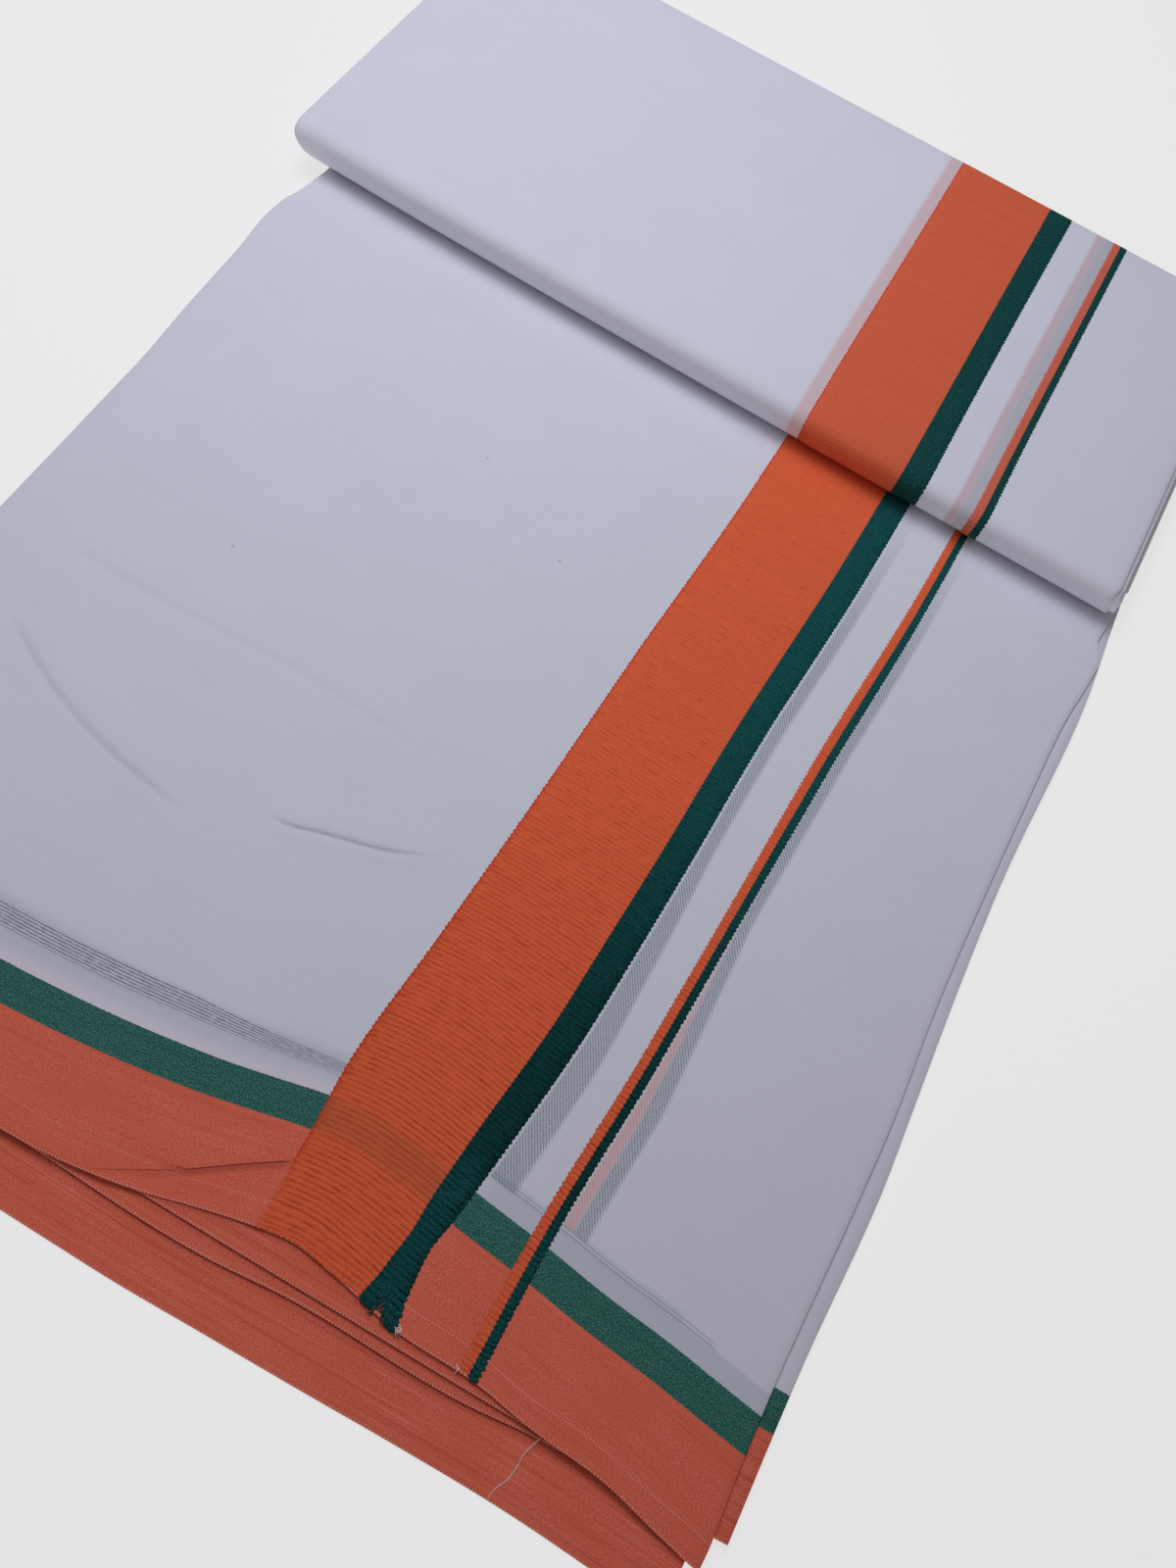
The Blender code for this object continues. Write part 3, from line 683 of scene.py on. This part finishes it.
def make_rib_group():
    """Rib colour: the band's colour on a crest and painted shade in its groove, with fine threads and broad
    tonal bars.
    """
    group, g, given, out = new_group(
        "rib_colour",
        [
            ("Cloth", VECTOR, None),
            ("Crest", COLOUR, (1, 1, 1, 1)),
            ("Groove shade", COLOUR, (0, 0, 0, 1)),
            ("Fleck", COLOUR, (1, 1, 1, 1)),
            ("Flecks", FLOAT, 0.5),
        ],
        [("Colour", COLOUR), ("Height", FLOAT)],
    )
    relief = g.parts(given["Cloth"])[2]
    inputs = {0: given["Cloth"], 1: (1.0, 1.0, 0.0)}
    flat = g.node("ShaderNodeVectorMath", inputs, operation="MULTIPLY").outputs[0]
    thread = g.noise(flat, (0.28, 1.3, 1.0), 1.0)
    bar = g.noise(flat, (90.0, 5.0, 1.0), 1.0)
    speck = g.noise(flat, (0.45, 0.45, 1.0), 0.0)
    # Painted shade over the ribs: towards the groove colour where a rib stands low, the crest colour where
    # high.
    light = g.rise(g.about_half(g.noise(flat, (6.0, 1.5, 1.0), 1.0), 0.9, relief), 0.05, 0.9)
    colour = g.mix(light, given["Groove shade"], given["Crest"])
    dim = g.about_half(bar, 0.12, g.about_half(thread, 0.5, 1.0))
    colour = g.scaled(colour, dim)
    fleck = g.product(g.rise(speck, 0.62, 0.74), given["Flecks"])
    g.tree.links.new(g.mix(fleck, colour, given["Fleck"]), out["Colour"])
    g.tree.links.new(thread, out["Height"])
    return group


rib_colour = make_rib_group()
# The bands' colours on their rib crests, and darker groove colours that are painted shade.
BAND_ORANGE = srgb(228, 100, 62)
BAND_ORANGE_GROOVE_SHADE = srgb(178, 61, 32)
BAND_GREEN = srgb(12, 75, 75)
BAND_GREEN_GROOVE_SHADE = srgb(2, 19, 20)
ORANGE_FLECK, GREEN_FLECK = (srgb(232, 150, 116), 0.35), (srgb(92, 150, 142), 0.45)


def band_material(name, change, orange_pair, green_pair, see_through=0.0):
    """A band's orange side up to change along the cloth and its green side after it, where ribs interlock."""
    material, g, shader = new_material(name, 0.85, 0.08)
    cloth = g.cloth()
    u, b, relief = g.parts(cloth)
    sides = []
    for (crest, groove), (fleck, flecks) in ((orange_pair, ORANGE_FLECK), (green_pair, GREEN_FLECK)):
        inputs = {"Cloth": cloth, "Crest": crest, "Groove shade": groove, "Fleck": fleck, "Flecks": flecks}
        sides.append(g.group(rib_colour, inputs))
    (warm, threads_height), (green, _) = sides
    if see_through:
        under = g.between(b, BORDER_ORANGE + 0.5, BORDER_GREEN - 0.5, 2.4, 2.6)
        gap = g.rise(relief, 0.1, 0.9, 1.0, 0.6)
        warm = g.mix(g.product(under, gap, see_through), warm, srgb(166, 92, 60))
    if change == WIDE_CHANGE:
        seam = g.product(g.rise(u, 0.2, 1.0, 0.75, 0.0), g.rise(b, 16.0, 30.0))
        tucked = g.product(g.rise(u, -0.2, 2.2, 0.8, 0.0), g.rise(b, 18.0, 26.0, 1.0, 0.0))
        warm = g.layered(warm, (seam, srgb(206, 50, 30)), (tucked, srgb(222, 106, 80)))
    else:
        front = g.product(g.rise(b, 30.0, 44.0, 1.0, 0.0), g.rise(relief, 0.3, 0.7, 0.8, 0.0))
        warm = g.mix(front, warm, srgb(212, 98, 76))
    ragged = g.about_half(relief, -0.5, u)
    dip = g.product(g.rise(b, 48.0, 68.0, 0.3, 1.0), g.rise(b, 80.0, 290.0, 0.5, 0.0))
    cool = g.mix(dip, green, srgb(3, 26, 24))
    colour = g.mix(g.rise(ragged, change - 0.1, change + 0.1), warm, cool)
    weave_surface(g, shader, colour, threads_height, 0.5)
    return material


def leaf_rib_height(b):
    """Ribs stand highest at the lower front and lie down as the band goes under the bundle."""
    return 0.16 + 0.13 * (1 - ease(b, 40.0, 330.0)) - 0.06 * ease(b, 330.0, 420.0)


def leaf_groove_shade(b):
    """The grooves' painted shade is darkest at the lower front."""
    return 0.32 + 0.28 * (1 - ease(b, 50.0, 300.0)) - 0.08 * ease(b, 300.0, 400.0)


# How far the bands' raw ends reach past the selvedge: the green side is split in a ragged swallow tail
END_SHAPE = (
    (-1.0, 0.0),
    (20.0, 0.1),
    (44.0, 0.0),
    (50.0, -0.6),
    (53.0, -0.2),
    (55.4, 0.4),
    (57.4, 0.4),
    (58.7, -0.6),
    (59.9, -2.6),
    (60.6, -2.0),
    (61.2, 0.1),
    (62.2, 0.9),
    (66.6, 1.4),
    (90.0, -0.9),
    (92.8, -0.8),
    (94.0, 0.1),
    (95.6, 0.5),
    (97.2, 0.1),
)
END_LENGTH = 5 * RIB_PITCH
LEAF_BAND_LENGTH = 440.0
TAIL_START, TAIL_MIDDLE, TAIL_END = 53.0, 60.2, 70.0


def band_end_point(u, b, rise):
    """The last ribs of a band: drawn out to its ragged end, gathered in small flutes, and drooping."""
    last = 1 - ease(b, 0.0, END_LENGTH)
    reach = curve_through(END_SHAPE, 1, u) + 0.3 * np.sin(2.9 * u) * np.sin(0.83 * u + 1.0)
    flutes = 0.16 * np.sin(2.6 * u + 0.9 * np.sin(0.37 * u)) * last * np.where(u < 54, 1.0, 0.5)
    bunch = 1.5 * np.sin(np.pi * b / END_LENGTH) * (1 - ease(u, 5.0, 50.0))
    stretched = b - reach * last - bunch
    x, y, z = top_leaf_point(u, stretched, rise + flutes)
    green = (u > TAIL_START) & (u < TAIL_END)
    x = x + np.where(green, (u - TAIL_MIDDLE) * 0.16 * last, 0.0)
    return x, y, z - 0.35 * np.maximum(-stretched, 0.0)


WIDE, THIN = (WIDE_LEFT, WIDE_RIGHT), (THIN_LEFT, THIN_RIGHT)
leaf_looks = (leaf_rib_height, leaf_groove_shade)
on_leaf = (rib_rows(END_LENGTH, LEAF_BAND_LENGTH), top_leaf_point, *leaf_looks)
at_end = (rib_rows(0.0, END_LENGTH), band_end_point, *leaf_looks)
wide_band = make_band("wide_band_on_leaf", *WIDE, 15, *on_leaf, 0.45)
thin_band = make_band("thin_band_on_leaf", *THIN, 7, *on_leaf, 0.5)
wide_end = make_band("wide_band_end", *WIDE, 133, *at_end, 0.7)
thin_end = make_band("thin_band_end", *THIN, 11, *at_end, 0.7)
leaf_pairs = ((BAND_ORANGE, BAND_ORANGE_GROOVE_SHADE), (BAND_GREEN, BAND_GREEN_GROOVE_SHADE))
wide_material = band_material("wide_band", WIDE_CHANGE, *leaf_pairs, 0.65)
thin_material = band_material("thin_band", THIN_CHANGE, *leaf_pairs)
for piece, material in (
    (wide_band, wide_material),
    (wide_end, wide_material),
    (thin_band, thin_material),
    (thin_end, thin_material),
):
    dress(piece, material)


def threads(name, paths, radius, colour):
    """Loose threads: each path is smoothed through its points and carried as a four-sided closed tube."""
    points, faces = [], []
    ring = np.arange(4)
    for path in paths:
        knots = np.array(path, float)
        known = np.linspace(0, 1, len(knots))
        table = [tuple(row) for row in np.column_stack([known, knots])]
        at = np.linspace(0, 1, 6 * len(knots))
        line = np.stack([curve_through(table, column, at) for column in (1, 2, 3)], axis=1)
        run = np.gradient(line, axis=0)
        run /= np.linalg.norm(run, axis=1, keepdims=True)
        side = np.cross(run, (0.0, 0.0, 1.0))
        side /= np.maximum(np.linalg.norm(side, axis=1, keepdims=True), 1e-3)
        over = np.cross(side, run)
        thin = radius * np.sin(np.pi * np.clip(np.linspace(0.06, 0.94, len(at)), 0, 1)) ** 0.35
        turn = (ring * np.pi / 2)[None, :, None]
        rings = side[:, None] * np.cos(turn) + over[:, None] * np.sin(turn)
        tube = line[:, None] + rings * thin[:, None, None]
        first = sum(len(block) for block in points)
        rows = first + 4 * np.arange(len(at) - 1)[:, None]
        here, after = rows + ring, rows + np.roll(ring, -1)
        faces.extend(np.stack([here, after, after + 4, here + 4], axis=-1).reshape(-1, 4).tolist())
        faces.append((first + ring[::-1]).tolist())
        faces.append((first + 4 * (len(at) - 1) + ring).tolist())
        points.append(tube.reshape(-1, 3))
    flat = np.concatenate(points)
    mesh = bpy.data.meshes.new(name)
    mesh.from_pydata(metres(flat[:, 0], flat[:, 1], flat[:, 2]).tolist(), [], faces)
    mesh.shade_smooth()
    material, _, shader = new_material(name, 0.85, 0.1)
    shader["Base Color"].default_value = colour
    piece = in_scene(name, mesh)
    dress(piece, material)
    return piece


def frayed(u0, u1, count, start, most, seed, wander):
    """Paths of frayed weft ends: side by side from u0 to u1, each up to most past the band's ragged end."""
    rng = np.random.default_rng(seed)
    u = np.linspace(u0, u1, count) + rng.uniform(-0.3, 0.3, count)
    ends = rng.uniform(0.1, most, count)
    paths = []
    for first, end, turn in zip(u, ends, rng.uniform(-wander, wander, count)):
        b = np.linspace(start, -end, 5)
        share = np.linspace(0, 1, 5)
        x, y, z = band_end_point(first + turn * share**2, b, np.full(5, LEAF / 2 + 0.35))
        paths.append(np.stack((x, y, z - 0.2 * share), axis=1))
    return paths


green_paths = frayed(54.0, 66.0, 26, 2.0, 0.7, 5, 0.5) + frayed(58.0, 61.6, 12, 1.0, 2.2, 6, 1.6)
green_ends = threads("green_thread_ends", green_paths, 0.22, srgb(14, 60, 58))
orange_paths = frayed(58.6, 61.4, 5, 1.0, 1.2, 8, 1.2)
orange_ends = threads("orange_thread_ends", orange_paths, 0.2, srgb(206, 92, 60))
white_paths = [
    ((160.8, -296.2, 3.3), (159.4, -299.6, 2.7), (158.6, -303.5, 1.5), (158.4, -308.4, 1.2),
     (157.6, -312.4, 1.2), (155.6, -316.2, 1.2), (154.8, -320.3, 1.2)),
    ((99.8, -291.2, 5.6), (101.0, -292.3, 6.0), (102.4, -291.8, 5.8), (101.8, -290.7, 6.0),
     (100.8, -291.4, 6.3), (101.4, -292.6, 5.8), (102.2, -293.0, 5.2)),
    ((100.6, -291.8, 5.8), (101.0, -293.1, 5.2), (101.8, -293.8, 4.4)),
    ((100.4, -290.2, 5.7), (101.2, -290.4, 6.1), (102.0, -291.4, 5.9), (101.2, -292.0, 5.9)),
    ((124.2, -290.4, 5.6), (124.8, -291.6, 6.0), (125.8, -291.9, 5.8), (125.2, -290.9, 5.8)),
    ((124.6, -291.0, 5.8), (125.2, -292.4, 5.5), (125.2, -293.6, 4.6)),
]
white_ends = threads("white_thread_ends", white_paths, 0.16, srgb(232, 222, 228))

# ---------------------------------------------------------------- lower leaves
# The three double leaves under the top one, of the same cotton and laid flat on one another. Only their
# front selvedges show, fanned one behind the other, and a narrow strip of their right edges.

# y, then x of each leaf's left and right edge there
SECOND_SIDES = (
    (330.0, -216.2, 216.6),
    (115.0, -216.0, 221.2),
    (86.0, -217.0, 223.6),
    (-30.0, -213.4, 223.2),
    (-75.0, -212.6, 225.0),
    (-128.0, -212.0, 228.2),
    (-160.0, -211.4, 230.2),
    (-228.7, -211.0, 229.8),
    (-292.0, -210.8, 231.4),
)
THIRD_SIDES = (
    (330.0, -217.0, 215.4),
    (115.0, -217.4, 219.4),
    (-30.0, -214.2, 221.4),
    (-298.7, -211.4, 223.4),
)
BOTTOM_SIDES = (
    (330.0, -216.6, 216.0),
    (115.0, -216.8, 218.6),
    (-30.0, -213.8, 220.6),
    (-329.7, -210.6, 221.6),
)
BOTTOM_SELVEDGE = (
    (-214.0, -38.2),
    (-110.0, -38.4),
    (-12.0, -38.0),
    (10.0, -37.7),
    (43.0, -36.3),
    (81.0, -34.7),
    (118.0, -32.9),
    (156.0, -31.6),
    (226.0, -33.0),
)
LOWER_WAVER = 0.3
WEAVE_SHIFT = 37.0  # how far along the weave's pattern each leaf lies from the one under it


def make_lower_leaf(name, level, selvedge, sides, over):
    """A lower leaf, flat and plain: x even between its side edges, y from its selvedge, the waver dying out.

    It gets painted shade in front of the leaf over it, whose selvedge is given.
    """
    depth = LEAF_END - SELVEDGE_DATUM
    rows = steps((0.0, 0.6, 1), (0.6, 42.0, 60), (42.0, depth, 54))
    share = np.linspace(0, 1, 111)[None, :]
    flat = (SELVEDGE_DATUM + rows)[:, None]
    x = curve_through(sides, 1, flat) * (1 - share) + curve_through(sides, 2, flat) * share
    b = np.broadcast_to(rows[:, None], x.shape)
    y = flat + curve_through(selvedge, 1, x) * (1 - ease(b / depth, 0.0, LOWER_WAVER))
    z = level * (LEAF + SEAM) + np.zeros_like(x)
    u = x - curve_through(TOP_LEAF_LINES, 2, flat)
    before = SELVEDGE_DATUM + curve_through(over, 1, x) - y
    # painted shade on this leaf, just in front of the selvedge of the leaf over it
    shade = 0.75 * np.exp(-np.clip(before - 0.6, 0, 30) / 1.6) * ease(before, -3.0, -0.5)
    cloth = np.stack((u + WEAVE_SHIFT * (level + 1), b, shade), axis=-1)
    piece = closed_sheet(name + "_cloth", metres(x, y, z + LEAF), metres(x, y, z), cloth, DOUBLE_RIM)
    dress(piece, lower_material)
    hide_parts(name)
    return piece


lower_material = cotton_material("border_cotton")
bottom_cloth = make_lower_leaf("bottom_leaf", 0, BOTTOM_SELVEDGE, BOTTOM_SIDES, THIRD_SELVEDGE)
third_cloth = make_lower_leaf("third_leaf", 1, THIRD_SELVEDGE, THIRD_SIDES, SECOND_SELVEDGE)
second_cloth = make_lower_leaf("second_leaf", 2, SECOND_SELVEDGE, SECOND_SIDES, TOP_SELVEDGE)

# ---------------------------------------------------------------- folded bundle
# The far half of the cloth's width, folded over and over: the four double leaves go round the far fold,
# forward over the top, down the step's face, back under the bundle, and forward again in its middle.

PACK_DEPTH = 659.4
BUNDLE_TOP = 24.0
BUNDLE_BASE = 4 * LEAF + 3 * SEAM + BAND_RELIEF + SEAM
STEP_FRONT = 121.8
FOLD_SQUARENESS = 2.5
FAR_HALF = BUNDLE_TOP / 2
FAR_MIDDLE = PACK_DEPTH / 2 - BAND_RELIEF - FAR_HALF
STEP_HALF = (BUNDLE_TOP - BUNDLE_BASE) / 2
STEP_MIDDLE = STEP_FRONT + STEP_HALF
SHOULDER_DROP = 0.9
SHOULDER_WIDTH = 10.0
SKIN = 1.0
LEFT_LEAN = 16.5
RIGHT_LEAN = 3.4
RIGHT_LEAN_TOP = 0.55
LEAN_REACH = 60.0
LEFT_CORNER, RIGHT_CORNER = 2.5, 7.0
BEND_START, BEND_END = STEP_FRONT + 20.0, STEP_FRONT + 110.0
STEP_LINE = ((-234.0, 4.8), (-150.0, 2.6), (-50.0, 0.8), (60.0, -0.5), (215.0, -1.2))
# The same columns as TOP_LEAF_LINES, for the cloth of the bundle
BUNDLE_LINES = (
    (329.7, -231.0, 46.8, 97.8, 110.8, 135.2, 138.7, 142.6, 214.0),
    (240.0, -232.4, 48.6, 99.2, 111.6, 136.2, 139.8, 143.5, 213.4),
    (165.0, -233.0, 49.9, 100.4, 112.8, 137.2, 140.8, 144.5, 213.9),
    (121.8, -233.2, 51.0, 100.9, 113.9, 138.0, 141.8, 145.7, 214.2),
)
BUNDLE_LEFT, BUNDLE_RIGHT = BUNDLE_LINES[0][1], BUNDLE_LINES[0][-1]
PLY_PITCH = (BUNDLE_TOP - BUNDLE_BASE) / 12
PLY = 1.15
BUNDLE_START = 600.0  # where the bundle's cloth attribute starts, in millimetres from the selvedge
LAST_TURN_ENDS = (6.0, 3.5, 5.0, 1.0)  # how far behind the step's middle each leaf ends, from the outside in


def superellipse(half, turn):
    """A round fold's outline at each turn from -90 to 90 degrees: how far out, and how far up."""
    power = 2 / FOLD_SQUARENESS
    out = half * np.maximum(np.cos(turn), 0.0) ** power
    return out, half * np.sign(turn) * np.abs(np.sin(turn)) ** power


def sunk_shoulders(x, z):
    """Z with the bundle's top sunk towards its two ends, where the plies' side folds are soft."""
    ends = np.minimum(x - BUNDLE_LEFT, BUNDLE_RIGHT - x)
    sink = SHOULDER_DROP * (1 - np.clip(ends / SHOULDER_WIDTH, 0, 1)) ** 2
    return z - sink * ease(z, BUNDLE_BASE + SKIN, BUNDLE_TOP - SKIN)


def rounded_corner(radius, y):
    """How far a corner of the step stands in from its end, for the step's distance from its front line."""
    inside = np.clip(radius - (y - STEP_FRONT), 0.0, radius)
    return radius - np.sqrt(radius**2 - inside**2)


def leaning(x, y, z):
    """X and y with the bundle's ends askew: its upper layers lie further left, and its step wavers."""
    height = np.clip((z - BUNDLE_BASE) / (BUNDLE_TOP - BUNDLE_BASE - 2 * SKIN), 0, 1)
    near_left = 1 - np.clip((x - BUNDLE_LEFT) / LEAN_REACH, 0, 1)
    near_right = 1 - np.clip((BUNDLE_RIGHT - x) / LEAN_REACH, 0, 1)
    from_left = (LEFT_LEAN * (1 - height) ** 3 + rounded_corner(LEFT_CORNER, y)) * near_left
    from_right = RIGHT_LEAN * (1 - ease(height, RIGHT_LEAN_TOP, 1.0)) * near_right
    from_right = from_right - rounded_corner(RIGHT_CORNER, y) * near_right
    waver = curve_through(STEP_LINE, 1, x) * (1 - ease(y, BEND_START, BEND_END))
    return x + from_left + from_right, y + waver


def folded_path(order):
    """The path of the leaf that lies order-th from the outside: y, z and the length so far, as arrays.

    It starts on the table, goes up round the far fold, forward over the top, round the step, back over the
    flat leaves, turns up inside the bundle and ends in its middle.
    """
    inset = (order + 0.5) * PLY_PITCH
    turn = np.linspace(-np.pi / 2, np.pi / 2, 61)
    far_out, far_up = superellipse(FAR_HALF - inset, turn)
    step_out, step_up = superellipse(STEP_HALF - inset, turn[::-1])
    inner_top = BUNDLE_BASE + 8 * PLY_PITCH - inset
    inner_half = (inner_top - BUNDLE_BASE - inset) / 2
    inner_out, inner_up = superellipse(inner_half, turn)
    inner_middle = LEAF_END - 2.0 - inner_half
    start = LEAF_END + 0.4 + SEAM
    end = STEP_MIDDLE + LAST_TURN_ENDS[order]
    y = np.concatenate(
        [[start], FAR_MIDDLE + far_out, STEP_MIDDLE - step_out, inner_middle + inner_out, [end]]
    )
    z = np.concatenate(
        [
            [inset],
            FAR_HALF + far_up,
            BUNDLE_BASE + STEP_HALF + step_up,
            BUNDLE_BASE + inset + inner_half + inner_up,
            [inner_top],
        ]
    )
    length = np.concatenate([[0.0], np.cumsum(np.hypot(np.diff(y), np.diff(z)))])
    keep = np.concatenate([[True], np.diff(length) > 1e-6])
    return y[keep], z[keep], length[keep]


def path_frame(order, rows):
    """The path's points at the rows' lengths, and the outward direction there, square to the path."""
    y, z, length = folded_path(order)
    fine = np.linspace(0, length[-1], 4000)
    smooth_y, smooth_z = np.interp(fine, length, y), np.interp(fine, length, z)
    run_y, run_z = np.gradient(smooth_y), np.gradient(smooth_z)
    kernel = np.ones(9) / 9
    run_y, run_z = np.convolve(run_y, kernel, "same"), np.convolve(run_z, kernel, "same")
    size = np.hypot(run_y, run_z)
    out_y, out_z = run_z / size, -run_y / size
    return tuple(np.interp(rows, fine, values) for values in (smooth_y, smooth_z, out_y, out_z))


def bundle_point(order, u, rows, rise):
    """The order-th leaf at u along the cloth and rows along its path, rise outwards: x, y and z."""
    path_y, path_z, out_y, out_z = (values[:, None] for values in path_frame(order, rows))
    y = path_y + out_y * rise
    z = path_z + out_z * rise
    x, y = leaning(cloth_x(BUNDLE_LINES, np.broadcast_to(y, u.shape), u), y, z)
    return x, y, sunk_shoulders(x, z)


def make_bundle_leaf(name, order, rows, cells, inset=(0.0, 0.0)):
    """One double leaf of the bundle, a closed shell along its path, drawn in at its ends by inset."""
    path_y = path_frame(order, rows)[0]
    left = cloth_side(BUNDLE_LINES, path_y, 1)[:, None] + inset[0]
    right = cloth_side(BUNDLE_LINES, path_y, -1)[:, None] - inset[1]
    share = 0.5 - 0.5 * np.cos(np.pi * np.linspace(0, 1, cells + 1))[None, :]
    share = 0.75 * np.linspace(0, 1, cells + 1)[None, :] + 0.25 * share
    u = left * (1 - share) + right * share
    outer = metres(*bundle_point(order, u, rows, PLY / 2))
    inner = metres(*bundle_point(order, u, rows, -PLY / 2))
    b = np.broadcast_to(rows[:, None] + BUNDLE_START, u.shape)
    cloth = np.stack((u, b, np.zeros_like(u)), axis=-1)
    piece = closed_sheet(name, outer[:, ::-1], inner[:, ::-1], cloth[:, ::-1], DOUBLE_RIM)
    dress(piece, bundle_material)
    return piece


bundle_ghosts = (
    (0, -6.6, 0.4, 1.3, 0.5, 560.0, 900.0, srgb(212, 188, 192), 1.0, 0.0),
    (0, 80.8, 84.8, 1.3, 0.9, 560.0, 900.0, srgb(204, 184, 192), 1.0, 0.0),
    (0, 84.6, 90.6, 0.8, 0.5, 560.0, 900.0, srgb(186, 186, 194), 1.0, 0.0),
)
bundle_material = cotton_material("white_cotton_bundle", bundle_ghosts)
path_length = folded_path(0)[2][-1]
outer_rows = steps((0.0, 60.0, 30), (60.0, 230.0, 60), (230.0, 300.0, 46), (300.0, path_length, 60))
bundle_cloth = make_bundle_leaf("bundle_cloth", 0, outer_rows, 150, (0.0, 2.0))
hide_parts("bundle_wrap")
for order, inset in ((1, (1.5, -0.2)), (2, (0.6, 0.9)), (3, (2.2, 0.1))):
    reach = folded_path(order)[2][-1]
    inner_rows = steps((0.0, 60.0, 20), (60.0, reach - 1.0, 100), (reach - 1.0, reach, 1))
    make_bundle_leaf("inner_leaf_%d" % (order + 1), order, inner_rows, 60, inset)
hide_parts("bundle_core")

# ---------------------------------------------------------------- woven bands on the bundle
# The same two bands, woven into the cloth, where they come over the far fold, across the top and down the
# step. Here the ribs lie flatter, and show most where they round over the step.

BUNDLE_BAND_START = BUNDLE_START + 5.0
BUNDLE_RIBS = 142


def on_bundle(u, b, rise):
    """The outermost leaf's surface, for a strip: rise counts from the leaf's middle."""
    return bundle_point(0, u, b[:, 0] - BUNDLE_START, rise - LEAF / 2 + PLY / 2)


def over_step(b):
    """1 where the band rounds over the step's edge, and 0 before and after it."""
    length = b - BUNDLE_START
    return ease(length, 232.0, 244.0) * (1 - ease(length, 256.0, 270.0))


def bundle_rib_height(b):
    """Low ribs, and higher ones over the step's edge."""
    return 0.05 + 0.2 * over_step(b)


def bundle_groove_shade(b):
    """Faint painted shade in the grooves, and darker shade over the step's edge."""
    return 0.1 + 0.6 * over_step(b)


bundle_ribs = rib_rows(BUNDLE_BAND_START, BUNDLE_BAND_START + RIB_PITCH * BUNDLE_RIBS)
over_bundle = (bundle_ribs, on_bundle, bundle_rib_height, bundle_groove_shade, 0.5, -1)
wide_over = make_band("wide_band_on_bundle", *WIDE, 15, *over_bundle)
thin_over = make_band("thin_band_on_bundle", *THIN, 7, *over_bundle)
# Crest and groove colours of the bands on the bundle; each groove colour is painted shade.
over_green = (srgb(11, 64, 61), srgb(5, 35, 35))
wide_over_orange = (srgb(214, 98, 67), srgb(176, 66, 40))
thin_over_orange = (srgb(208, 104, 84), srgb(170, 72, 54))
wide_over_material = band_material("wide_band_over", WIDE_CHANGE, wide_over_orange, over_green)
thin_over_material = band_material("thin_band_over", THIN_CHANGE, thin_over_orange, over_green)
dress(wide_over, wide_over_material)
dress(thin_over, thin_over_material)

# ---------------------------------------------------------------- studio
# A plain pale floor under three soft lights and an even pale surround: a key light high at the far left, a
# weaker one over the middle and a low fill light in front.

FLOOR_HALF = 3

floor_mesh = bpy.data.meshes.new("studio_floor")
corners = [(FLOOR_HALF * x, FLOOR_HALF * y, 0) for x, y in ((-1, -1), (1, -1), (1, 1), (-1, 1))]
floor_mesh.from_pydata(corners, [], [(0, 1, 2, 3)])
floor = in_scene("studio_floor", floor_mesh)
floor_material, _, floor_shader = new_material("pale_floor", 1.0, 0.0)
floor_shader["Base Color"].default_value = (0.18, 0.18, 0.18, 1.0)
floor_shader["Emission Color"].default_value = (1.0, 1.0, 1.0, 1.0)
floor_shader["Emission Strength"].default_value = 0.69
floor_mesh.materials.append(floor_material)


def area_light(name, place, size, power, colour):
    """A square soft light at place, turned to face the middle of the floor."""
    light = bpy.data.lights.new(name, "AREA")
    light.shape = "SQUARE"
    light.size = size
    light.energy = power
    light.color = colour
    lamp = in_scene(name, light)
    lamp.location = place
    lamp.rotation_euler = (-Vector(place)).to_track_quat("-Z", "Y").to_euler()


COOL_LIGHT = (0.975, 0.985, 1.09)
area_light("key_light", (-0.3, 0.4, 0.88), 0.5, 5.0, COOL_LIGHT)
area_light("top_light", (-0.12, 0.06, 0.62), 0.4, 0.52, COOL_LIGHT)
area_light("fill_light", (0.6, -3.0, 0.15), 0.8, 18.0, (1.0, 0.99, 0.99))
world = bpy.data.worlds.new("surround")
world.use_nodes = True
background = world.node_tree.nodes["Background"].inputs
background["Color"].default_value = (1.0, 0.96, 0.92, 1.0)
background["Strength"].default_value = 0.17
scene.world = world

camera_data = bpy.data.cameras.new("camera")
camera_data.sensor_fit = "VERTICAL"
camera_data.sensor_height = 36.0
camera_data.sensor_width = 36.0
camera_data.lens = 29.25
camera = in_scene("camera", camera_data)
camera.matrix_world = (
    Matrix.Translation((0.0972, -0.2889, 0.48))
    @ Matrix.Rotation(np.radians(11.114), 4, "Z")
    @ Matrix.Rotation(np.radians(23.916), 4, "X")
    @ Matrix.Rotation(np.radians(20.535), 4, "Z")
)
scene.camera = camera
scene.view_settings.view_transform = "Standard"
